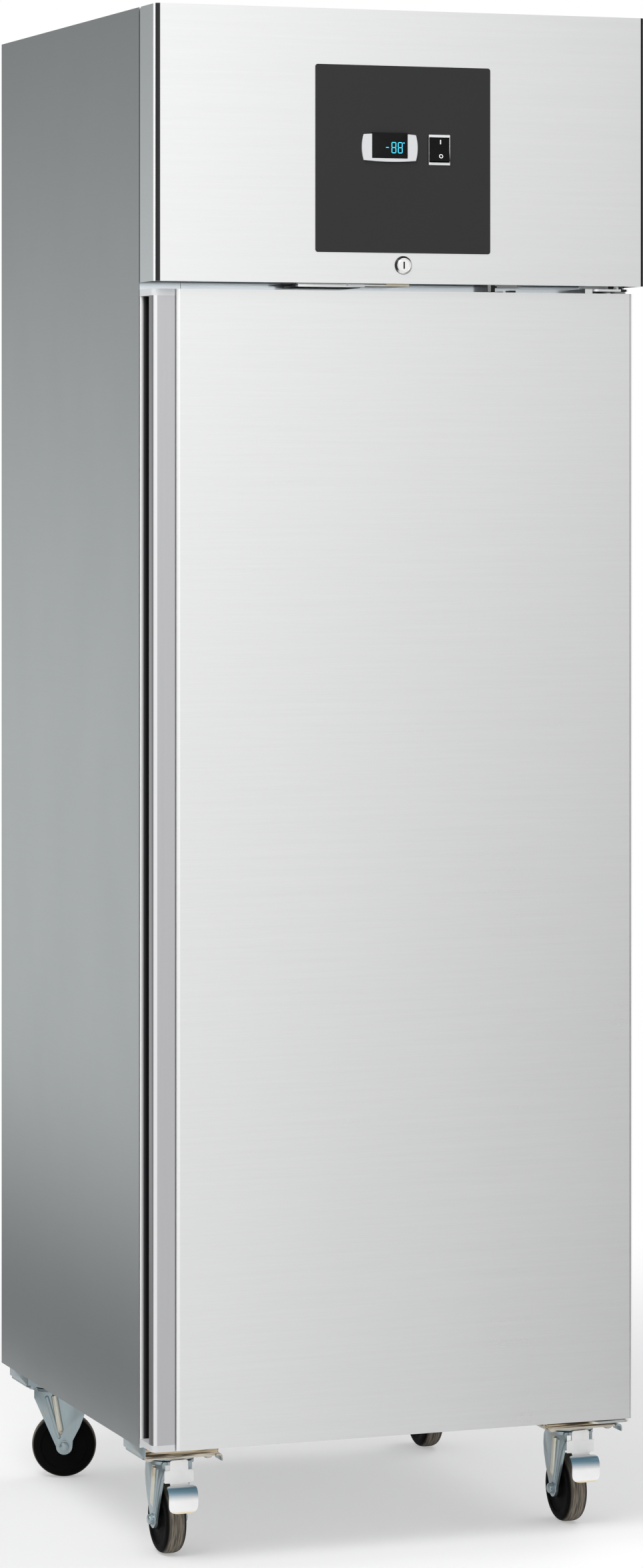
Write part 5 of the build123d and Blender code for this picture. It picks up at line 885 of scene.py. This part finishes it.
def add_figures(controls):
    """Minus sign, two eights and a degree ring; a segment is a bar with pointed ends."""
    tall, wide, thick, gap = controls.digit_height, controls.digit_width, 0.0010, 0.0002
    foot, minus_x, first_x, space, degree_x = 1.8241, -0.0254, -0.0197, 0.0023, -0.0025
    nib = thick / 2

    def bar(x, z, length, upright):
        half = length / 2 - gap
        end = half - nib
        outline = np.array([(-half, 0), (-end, nib), (end, nib), (half, 0), (end, -nib), (-end, -nib)])
        if upright:
            outline = outline[:, ::-1] * (-1, 1)
        return placed(slab(outline, 0.00016, 0.00006, 0.8), (x, PANE_FACE, z), FRONT)

    shapes = [bar(minus_x, foot + tall / 2, 0.0048, False)]
    for left in (first_x, first_x + wide + space):
        for level in (0, 0.5, 1):
            shapes.append(bar(left + wide / 2, foot + nib + level * (tall - thick), wide - thick, False))
        for side in (left + nib, left + wide - nib):
            for level in (0.25, 0.75):
                shapes.append(bar(side, foot + nib + level * (tall - thick), (tall - thick) / 2, True))
    degree = washer(0.0009, 0.0004, 0.00014, 20)
    shapes.append(placed(degree, (degree_x, PANE_FACE, foot + tall - 0.0010), FRONT))
    light = glowing("display_light", tuple(controls.glow), controls.glow_strength)
    make_piece("display_figures", shapes, light, "hood")


def add_switch_marks():
    """Bar on the rocker's upper half, flat at rest, and ring on its lower half, 12 degrees proud."""
    white = moulded("switch_print", (0.93, 0.93, 0.92), "white_plastic", 0.5)
    ridge = np.array([0.0498, -0.348569, 1.830285])
    bar = placed(plate(0.0014, 0.0058, 0.0005, 0.00012, 0.00005), ridge + (0, 0, 0.0098), FRONT)
    lean = radians(12)
    down, facing = np.array([0, -sin(lean), -cos(lean)]), (0, -cos(lean), sin(lean))
    ring = placed(washer(0.0028, 0.0018, 0.00012, 32), ridge + 0.0090 * down, facing)
    make_piece("switch_marks", [bar, ring], white, "rocker")


def add_lock_face(centre, finish, dark):
    """Proud collar with a sloping wall, and inside it a face with the key slot, which turns with the lock."""
    collar = np.array([(8.2, 0), (12.0, 0), (12.0, 0.5), (9.8, 3.0), (9.2, 3.6), (8.5, 3.6), (8.2, 3.3)]) * MM
    make_piece("lock_collar", [placed(turned(collar, 64, True), centre, FRONT)], finish, "hood")
    face = np.array([(0, 1.5), (8.0, 1.5), (8.0, 3.2), (7.7, 3.4), (0, 3.4)]) * MM
    make_piece("lock_face", [placed(turned(face, 64), centre, FRONT)], finish, "lock")
    # the key slot is a thin dark plate on the face: painted shade where the slot's opening is
    slot = placed(plate(0.0020, 0.0094, 0.0004, 0.0002, 0.00008), centre - (0, face[-1, 1], 0), FRONT)
    make_piece("lock_slot", [slot], dark, "lock")


class DressHood(DressingOperator):
    """Finish the hood and its controls, replace the bezel, and add figures, switch marks and a lock face"""

    bl_idname = "refrigerator.hood"
    bl_label = "Hood and controls"

    def build(self, scene):
        steel = scene.refrigerator_steel
        controls = scene.refrigerator_controls
        fine = 1 / steel.grain
        dress(hood_steel(tuple(steel.front), (22.0, fine, fine), *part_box("hood_panel")), "hood_panel")
        film = moulded("control_plate_film", tuple(controls.panel), "panel_black", 0.5, 1500.0, 0.00002)
        film.feed("Specular IOR Level", 0.2)
        dress(film, "control_plate")
        pale = moulded("bezel_plastic", (0.64, 0.65, 0.66), "light_plastic")
        low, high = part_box("rocker_frame")
        sides = [(x - MM, x + MM) for x in (low.x, high.x)]
        switch = banded("switch_frame", "light_plastic", (0.006, 0.006, 0.006), (0.76, 0.77, 0.78), sides)
        dress(switch, "rocker_frame")
        dark = smoked_window("display_window", (0.003, 0.003, 0.0035))
        dress(dark, "controller")
        add_bezel(pale, dark)
        rocker = moulded("switch_plastic", (0.004, 0.004, 0.0045), "black_plastic", 0.4, depth=0.00001)
        rocker.feed("Specular IOR Level", 0.1)
        dress(rocker, "rocker_button")
        centre = joint("lock_turn")[0] * (1, 0, 1) + (0, HOOD_FACE, 0)
        bright = collar_chrome(centre, 0.0092)
        dress(bright, "lock_barrel", "lock_core")
        dress(plated("hinge_pin_plating", (0.62, 0.64, 0.65), (0.56, 0.5, 0.36)), "hood_hinge_pins")
        add_figures(controls)
        add_switch_marks()
        add_lock_face(centre, bright, dark)


# Door
def add_rail_parts(black):
    """Small parts on the rail over the door: a stepped black rest, a pale plate over it, and a thin black
    strip under the plate, a painted shadow of it.
    """
    def bar(start, end, low, high, deep):
        shape = plate(end - start, high - low, 0.0008, deep, 0.0003)
        return placed(shape, ((start + end) / 2, RAIL_FACE, (low + high) / 2), FRONT)

    # the last bar, a thin black strip just under the pale plate, is a painted shadow of the plate
    rest = [bar(-0.1540, -0.1350, 1.6522, 1.6545, 0.026), bar(-0.1420, -0.1270, 1.6492, 1.6545, 0.034),
            bar(-0.1370, -0.0520, 1.6494, 1.6503, 0.043)]
    make_piece("rail_blocks", rest, black, "root")
    cover = banded("rest_plating", "zinc_plated_steel", BLACK, PALE, [], 0.85)
    make_piece("rest_plate", [bar(-0.1385, -0.0460, 1.6503, 1.6543, 0.045)], cover, "root")


def add_seal():
    """Section with a flat base, two soft ribs and a bulb for the magnet, carried round the door's opening."""
    low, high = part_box("door_gasket")
    section = [(0, 0), (0, 0.20), (-0.10, 0.26), (-0.14, 0.50), (-0.06, 0.62), (-0.06, 0.86), (-0.14, 0.985),
               (-0.30, 1.0), (-0.52, 1.0), (-0.66, 0.97), (-0.70, 0.84), (-0.66, 0.66), (-0.74, 0.56),
               (-0.88, 0.50), (-0.92, 0.36), (-0.86, 0.26), (-1.0, 0.20), (-1.0, 0)]
    wide, deep, corner = 0.030, high.y - low.y, 0.003
    shape = bordered(high.x - low.x, high.z - low.z, corner, np.array(section) * (wide, deep), True, 5)
    finish = extruded_seal("seal_rubber", (0.17, 0.175, 0.18))
    middle = ((low.x + high.x) / 2, low.y, (low.z + high.z) / 2)
    made = make_piece("door_seal", [placed(shape, middle, (0, 1, 0))], finish, "door", 50.0)
    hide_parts("door_gasket")


class DressDoor(DressingOperator):
    """Finish the door, grip and hinges, replace the plain seal, and add the rail's parts and hinge bolts"""

    bl_idname = "refrigerator.door"
    bl_label = "Door"

    def build(self, scene):
        steel = scene.refrigerator_steel
        fine = 1 / steel.grain
        dress(brushed("door_sheet", tuple(steel.front), (22.0, fine, fine)), "door_skin")
        dress(brushed("door_lining", (0.74, 0.75, 0.76), (22.0, fine, fine), 0.36, 0.75), "door_liner")
        dress(foamed("door_insulation"), "door_foam")
        grip_low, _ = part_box("handle_profile")
        dress(grip_metal((0.49, 0.49, 0.505), (fine, fine, 18.0), grip_low), "handle_profile")
        dress(groove(*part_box("handle_pocket")), "handle_pocket")
        dress(moulded("cap_plastic", (0.62, 0.63, 0.64), "light_plastic"), "handle_end_caps")
        dress(moulded("bush_plastic", (0.80, 0.80, 0.78), "white_plastic"), "hinge_bushes")
        plating = plated("hinge_plating", (0.66, 0.68, 0.69), (0.60, 0.55, 0.42))
        dress(plating, "lower_hinge", "hood_catch")
        hinge_bands, switch_bands = [(0.20, 0.2646), (0.3160, 0.3245)], [(0.10, 0.1347), (0.1392, 0.1500)]
        dress(banded("hinge_plate", "zinc_plated_steel", BLACK, PALE, hinge_bands, 0.85), "upper_hinge")
        dress(banded("switch_strip", "black_plastic", BLACK, PALE, switch_bands), "door_switch")
        sensor = moulded("sensor_plastic", BLACK, "black_plastic")
        dress(sensor, "switch_magnet")
        add_rail_parts(sensor)
        add_seal()
        low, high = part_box("lower_hinge")
        holes = (low.x + 0.014, high.x - 0.014), (-0.262, -0.240), (0.149,)
        make_piece("hinge_bolts", spread(hex_bolt(0.0048, 0.0034), *holes, DOWN), plating, "root")


# Castors
def add_wheel(corner, steps, finish):
    """Turned about the axle: proud hub, dished web, a step at the rim, round shoulders, crowned tread."""
    middle, axis, body = joint(f"wheel_spin_{corner}")
    side = [(4.3, 16.2), (11.8, 16.2), (12.8, 15.8), (13.2, 14.8), (13.9, 12.9), (17.0, 12.1), (24.0, 11.6),
            (30.5, 12.2), (32.3, 12.8), (33.1, 13.7), (34.6, 14.0)]
    shoulder = arc((37.4, 13.9), (44.3, 13.4), (44.85, 4.5))
    half = np.concatenate([side, shoulder]) * MM
    profile = np.concatenate([half, [(0.045, 0.0)], half[::-1] * (1, -1)])
    made = make_piece(f"wheel_{corner}", [placed(turned(profile, steps, True), middle, axis)], finish, body)
    mark_tread(made.data, middle, axis)
    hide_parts(f"castor_wheel_{corner}")


def mark_tread(mesh, middle, axis):
    """Stores each point's share of tread, less at the shoulders, and its place across and round."""
    points = np.empty(len(mesh.vertices) * 3, np.float32)
    mesh.vertices.foreach_get("co", points)
    points = points.reshape(-1, 3) - middle
    across = points @ axis
    spoke = points - across[:, None] * axis
    reach = np.linalg.norm(spoke, axis=1)
    inner_radius, half_width, streak_radius = 0.0425, 0.0125, 0.0025
    outward = np.clip((reach - inner_radius) / 0.0015, 0, 1)
    share = outward * np.clip((half_width - np.abs(across)) / 0.004, 0, 1)
    rolled = across[:, None] * axis + spoke / reach[:, None] * streak_radius
    mesh.attributes.new("tread", "FLOAT", "POINT").data.foreach_set("value", share.astype(np.float32))
    place = mesh.attributes.new("rolled", "FLOAT_VECTOR", "POINT")
    place.data.foreach_set("vector", rolled.astype(np.float32).ravel())


def add_cheeks(corner, finish, pressed):
    """Wide pressed cheeks over the fork's legs, each with a half-round rib. Their outline is in the plane of
    the swivel and the wheel's middle: millimetres behind the swivel, and height."""
    middle, axis, _ = joint(f"wheel_spin_{corner}")
    stem = joint(f"castor_swivel_{corner}")[0] * FLAT
    trail = np.linalg.norm((middle - stem) * FLAT)
    behind = (middle - stem) * FLAT / trail
    turn = np.radians(np.linspace(25, -205, 14))
    foot = (trail / MM, middle[2] / MM) + 11.6 * np.stack([np.cos(turn), np.sin(turn)], -1)
    outline = np.concatenate([[(-26, 125), (29, 125), (38, 121), (43.5, 113), (45, 102), (43, 88), (37, 72)],
                              foot, [(-1, 62), (-8, 82), (-17, 101), (-26, 112)]]) * MM
    rib = np.array([(1.0, 120, -3.0), (1.4, 116, 1.0), (9.8, 68, 1.0), (10.6, 62, -3.0)]) * MM
    shapes, ribs = [], []
    for way in SIDES:
        facing = way * axis
        mirror = np.sign(np.cross(UP, facing) @ behind)
        leaf = slab(outline * (mirror, 1), CHEEK, 0.3 * MM, 0.985)
        shapes.append(placed(leaf, stem + facing * LEG_FACE, facing))
        path = stem + rib[:, :1] * behind + rib[:, 1:2] * UP + (LEG_FACE + rib[:, 2:]) * facing
        ribs.append(tube(path, 4.6 * MM, 20))
    make_piece(f"fork_cheeks_{corner}", shapes, finish, f"fork_{corner}")
    make_piece(f"fork_ribs_{corner}", ribs, pressed, f"fork_{corner}")


def add_axle_caps(corner, finish):
    """A round cap on a washer over each end of the axle bolt."""
    middle, axis, _ = joint(f"wheel_spin_{corner}")
    profile = np.array([(0, 0), (7.9, 0), (7.9, 1.1), (6.5, 1.3), (6.4, 4.3), (6.1, 5.1), (4.9, 5.8),
                        (2.7, 6.3), (0, 6.4)]) * MM
    face = (LEG_FACE + CHEEK) * axis
    caps = [placed(turned(profile, 32), middle + way * face, way * axis) for way in SIDES]
    make_piece(f"axle_caps_{corner}", caps, finish, f"fork_{corner}")


def add_pedal(corner, finish):
    """Cut from sheet with a narrow neck, ears and a wide foot pad, and bent forwards and down; behind it a
    barrel round the fork's pin. The path is (y, z) from the swivel; the blank is (way down it, half width)."""
    swivel = joint(f"castor_swivel_{corner}")[0] * FLAT
    neck, bend = (-0.0340, 0.1035), (-0.0390, 0.0970)
    tip, foot = (-0.0535, 0.0825), (-0.0527, 0.0645)
    path = np.concatenate([[(neck[0], 0.1300)], arc(neck, (neck[0], bend[1]), bend),
                           arc(bend, (tip[0], bend[1]), tip)[1:], [foot]])
    blank = np.array([(0, 9.5), (0.4, 11.0), (1.2, 12.0), (3.0, 12.5), (12.6, 12.5), (12.9, 19.2), (13.7, 20),
                      (28.4, 20), (29.2, 19.2), (29.5, 12.5), (35.6, 12.5), (36.1, 15.2), (37.4, 17.6),
                      (39.8, 19.3), (43.5, 20), (67, 20), (71, 19.4), (74, 17.8), (75.9, 15.4), (77, 12.4),
                      (77.4, 9)]) * MM
    pin_y, pin_z, pin_half, pin_hole, pin_wall = -0.026, 0.109, 0.0160, 0.0028, 0.0046
    barrel = washer(pin_wall, pin_hole, 2 * pin_half, 24)
    link = plate(0.025, 0.004, 0.0008, pin_wall, 0.0004)
    shapes = [placed(bent_sheet(path, blank, 0.002), swivel),
              placed(barrel, swivel + (-pin_half, pin_y, pin_z), RIGHT),
              placed(link, swivel + (0, pin_y - 0.003, pin_z), FRONT)]
    made = make_piece(f"pedal_{corner}", shapes, finish, f"pedal_{corner}")
    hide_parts(f"brake_pedal_{corner}")


def add_plate_fittings(finish):
    """Bolt heads at the corners of every top plate, a rolled race under it, end caps on the brackets, and a
    turned-down lip in front."""
    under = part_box("castor_top_plates")[1].z - 0.003
    turn = np.linspace(0, tau, 12, endpoint=False)
    race = turned(np.stack([0.0290 + 0.0026 * np.cos(turn), 0.0030 * np.sin(turn)], -1), 48, True)
    bend = np.concatenate([[(0.0485, 0.0)], arc((0.0530, 0.0), (0.0561, -0.0002), (0.0563, -0.0040)),
                           [(0.0567, -0.0085)]])
    lip = bent_sheet(bend, np.array([(0, 14), (13, 14), (16.5, 12.6), (17.3, 10.5)]) * MM, 0.0022)
    cap, cap_z = plate(0.084, 0.0146, 0.0008, 0.0012, 0.0003), 0.1446
    bolt_x, bolt_y, end_x = 0.040, 0.032, 0.0500
    shapes = []
    for corner in CORNERS:
        x, y, _ = joint(f"castor_swivel_{corner}")[0]
        bolts = (x - bolt_x, x + bolt_x), (y - bolt_y, y + bolt_y), (under,)
        shapes += spread([dome(0.0060, 0.0044)], *bolts, DOWN)
        shapes.append(placed(race, (x, y, under - 0.0034)))
        if corner.startswith("front"):
            shapes.append(placed(lip, (x, y - 0.028, under + 0.0013), upright=RIGHT))
        shapes += [placed(cap, (x + way * end_x, y, cap_z), (way, 0, 0)) for way in SIDES]
    make_piece("castor_plate_fittings", shapes, finish, "root")


class DressCastors(DressingOperator):
    """Finish the castors, replace the plain wheels and pedals, and add cheeks, caps, races, bolts and lips"""

    bl_idname = "refrigerator.castors"
    bl_label = "Castors"

    def build(self, scene):
        settings = scene.refrigerator_castors
        zinc = castor_plating(tuple(settings.zinc), (0.50, 0.41, 0.27), (0.05, 0.032, 0.018))
        dress(zinc, "castor_brackets", "castor_top_plates", *[f"castor_fork_{corner}" for corner in CORNERS])
        # the ribs are a paler cream than the cheeks' zinc: a painted reflection along them
        pressed = plated("rib_zinc", (0.62, 0.61, 0.54), (0.46, 0.36, 0.22), 0.22)
        chrome = pedal_chrome()
        # the brown on the tread is partly wear and partly a painted sheen
        tread = rubber("castor_tread", tuple(settings.tread), (0.25, 0.22, 0.18))
        for corner in CORNERS:
            add_wheel(corner, settings.wheel_steps, tread)
            add_axle_caps(corner, zinc)
            add_cheeks(corner, zinc, pressed)
        for corner in CORNERS[:2]:
            add_pedal(corner, chrome)
        add_plate_fittings(zinc)


# Studio
def looked_at(nodes):
    """1 for rays from the camera, straight or by way of gloss or glass, and 0 for those that only light."""
    camera, gloss, glass = [nodes.node("ShaderNodeLightPath", output=f"Is {way} Ray")
                            for way in ("Camera", "Glossy", "Transmission")]
    return camera.or_more(gloss).or_more(glass)


def place_camera(scene, lens):
    data = bpy.data.cameras.new("photo_camera")
    data.lens = lens
    data.sensor_width = 36
    data.shift_y = -0.2152
    data.clip_end = 100
    camera = linked("photo_camera", data)
    camera.location = EYE
    camera.rotation_euler = (radians(90), 0, -0.349)
    scene.camera = camera


def fill_air(scene, ambient):
    """White where the camera or a reflection looks, softer where it lights."""
    scene.world = bpy.data.worlds.new("studio_air")
    scene.world.use_nodes = True
    air = Nodes(scene.world.node_tree)
    air.tree.nodes.clear()
    soft, white = [air.node("ShaderNodeBackground", inputs={"Color": (1, 1, 1), "Strength": strength})
                   for strength in (ambient, 1.0)]
    either = air.node("ShaderNodeMixShader", inputs={0: looked_at(air), 1: soft, 2: white})
    air.connect(air.tree.nodes.new("ShaderNodeOutputWorld").inputs[0], either)


def add_sheet(name, profile, ends, finish):
    """A profile of (y, z) points carried along X from one end to the other."""
    points = [(x, *point) for point in profile for x in ends]
    faces = [(2 * n, 2 * n + 1, 2 * n + 3, 2 * n + 2) for n in range(len(profile) - 1)]
    mesh = bpy.data.meshes.new(name)
    mesh.from_pydata(points, [], faces)
    mesh.materials.append(finish.material)
    made = linked(name, mesh)
    return made


def lay_floor():
    """Pale floor that keeps the object's shadow and turns to the background's white away from it."""
    made = Finish("studio_floor", None, roughness=0.85, specular_ior_level=0.1)
    made.feed("Base Color", made.tinted((0.93, 0.93, 0.93), 0.995 + made.noise(3.0) * 0.01))
    x, y, _ = made.axes()
    away = ((x * x + y * y) ** 0.5).fade(0.9, 2.4, 0.36, 1.0)
    white = made.node("ShaderNodeEmission", inputs={"Strength": 1.0})
    shaded = Value(made, made.shader.outputs[0])
    lit = made.node("ShaderNodeMixShader", inputs={0: away * looked_at(made), 1: shaded, 2: white})
    made.connect(made.tree.nodes["Material Output"].inputs["Surface"], lit)
    reach = 30.0
    add_sheet("studio_floor", [(-reach, FLOOR), (reach, FLOOR)], (-reach, reach), made)


def card_light(name):
    """Black sheet that shines."""
    return Finish(name, None, base_color=(0.0, 0.0, 0.0), specular_ior_level=0.0, emission_strength=1.0)


def add_card(name, profile, ends, finish, level):
    """A sheet that shines at that level and is there for reflections: it neither shows, lights nor shades."""
    finish.feed("Emission Color", finish.tinted((1.0, 1.0, 1.0), level))
    card = add_sheet(name, profile, ends, finish)
    card.visible_camera = card.visible_diffuse = card.visible_transmission = card.visible_shadow = False
    return card


def add_front_card():
    """Sweep before the door, brighter at its left and darker to the right and low down. Its light follows
    the angles at which the door's plane would show it from the camera's place."""
    made = card_light("front_card_light")
    x, y, z = made.axes()
    distance = 2 * CAD_BOX[0].y - EYE[1] - y
    across = (x - EYE[0]) / distance
    upward = (z - EYE[2]) / distance
    low_right = across.fade(0.3, 0.55) * upward.fade(0.05, -0.25)
    level = across.fade(0.15, 0.65, 1.43, 0.385) * upward.fade(-0.5, 0.2, 0.6, 1.05) * (1 - low_right * 0.22)
    profile = [(-0.60, 0.004), (-1.90, 0.004), (-2.30, 0.12), (-2.50, 0.50), (-2.50, 5.0)]
    add_card("front_card", profile, (-1.2, 7.5), made, level)


def add_side_card():
    """Upright card beside the cabinet's left side, brightest at half its height."""
    made = card_light("side_card_light")
    height = made.axes()[2]
    level = height.fade(-0.10, 0.57) * height.fade(2.5, 0.9, 0.35, 1.0)
    near, far, low, high = -0.2, 3.6, 0.002, 3.2
    stand = CAD_BOX[0].x - 0.27
    card = add_card("side_card", [(near, low), (near, high)], (0, far - near), made, level)
    card.data.transform(Matrix.Translation((stand, near, 0)) @ Matrix.Rotation(radians(90), 4, "Z")
                        @ Matrix.Translation((0, -near, 0)))


def hang_lamp(name, place, target, power):
    data = bpy.data.lights.new(name, "AREA")
    data.size = 2.6
    data.energy = power
    lamp = linked(name, data)
    lamp.location = place
    lamp.rotation_euler = (Vector(target) - Vector(place)).to_track_quat("-Z", "Y").to_euler()


class BuildStudio(DressingOperator):
    """Place the floor, lamps, reflecting cards and the photograph's camera"""

    bl_idname = "refrigerator.studio"
    bl_label = "Studio"

    def build(self, scene):
        studio = scene.refrigerator_studio
        place_camera(scene, studio.lens)
        fill_air(scene, studio.ambient)
        lay_floor()
        hang_lamp("key_lamp", (-2.3, -2.7, 4.7), (0, -0.4, 0.9), studio.key)
        hang_lamp("fill_lamp", (3.4, 2.0, 4.6), (0, 0.2, 0.9), studio.key * 0.35)
        add_front_card()
        add_side_card()
        scene.view_settings.view_transform = "Standard"


class RefrigeratorPanel(bpy.types.Panel):
    """Lists the dressing's steps and settings"""

    bl_idname = "VIEW3D_PT_refrigerator"
    bl_label = "Refrigerator"
    bl_space_type = "VIEW_3D"
    bl_region_type = "UI"
    bl_category = "Refrigerator"

    def draw(self, context):
        for owner, group in SETTINGS.items():
            for name in group.__annotations__:
                self.layout.prop(getattr(context.scene, owner), name)
        for operator in OPERATORS:
            self.layout.operator(operator.bl_idname)


SETTINGS = {
    "refrigerator_steel": SteelSettings,
    "refrigerator_controls": ControlSettings,
    "refrigerator_castors": CastorSettings,
    "refrigerator_studio": StudioSettings,
}
OPERATORS = (DressCabinet, DressInterior, DressMachineBay, DressHood, DressDoor, DressCastors, BuildStudio)


def register():
    for name, group in SETTINGS.items():
        bpy.utils.register_class(group)
        setattr(bpy.types.Scene, name, PointerProperty(type=group))
    for known in (*OPERATORS, RefrigeratorPanel):
        bpy.utils.register_class(known)


def unregister():
    for known in (RefrigeratorPanel, *reversed(OPERATORS)):
        bpy.utils.unregister_class(known)
    for name, group in SETTINGS.items():
        delattr(bpy.types.Scene, name)
        bpy.utils.unregister_class(group)


def main():
    """Runs every step in order."""
    register()
    bpy.ops.refrigerator.cabinet()
    bpy.ops.refrigerator.interior()
    bpy.ops.refrigerator.machine_bay()
    bpy.ops.refrigerator.hood()
    bpy.ops.refrigerator.door()
    bpy.ops.refrigerator.castors()
    bpy.ops.refrigerator.studio()


if __name__ == "__main__":
    main()
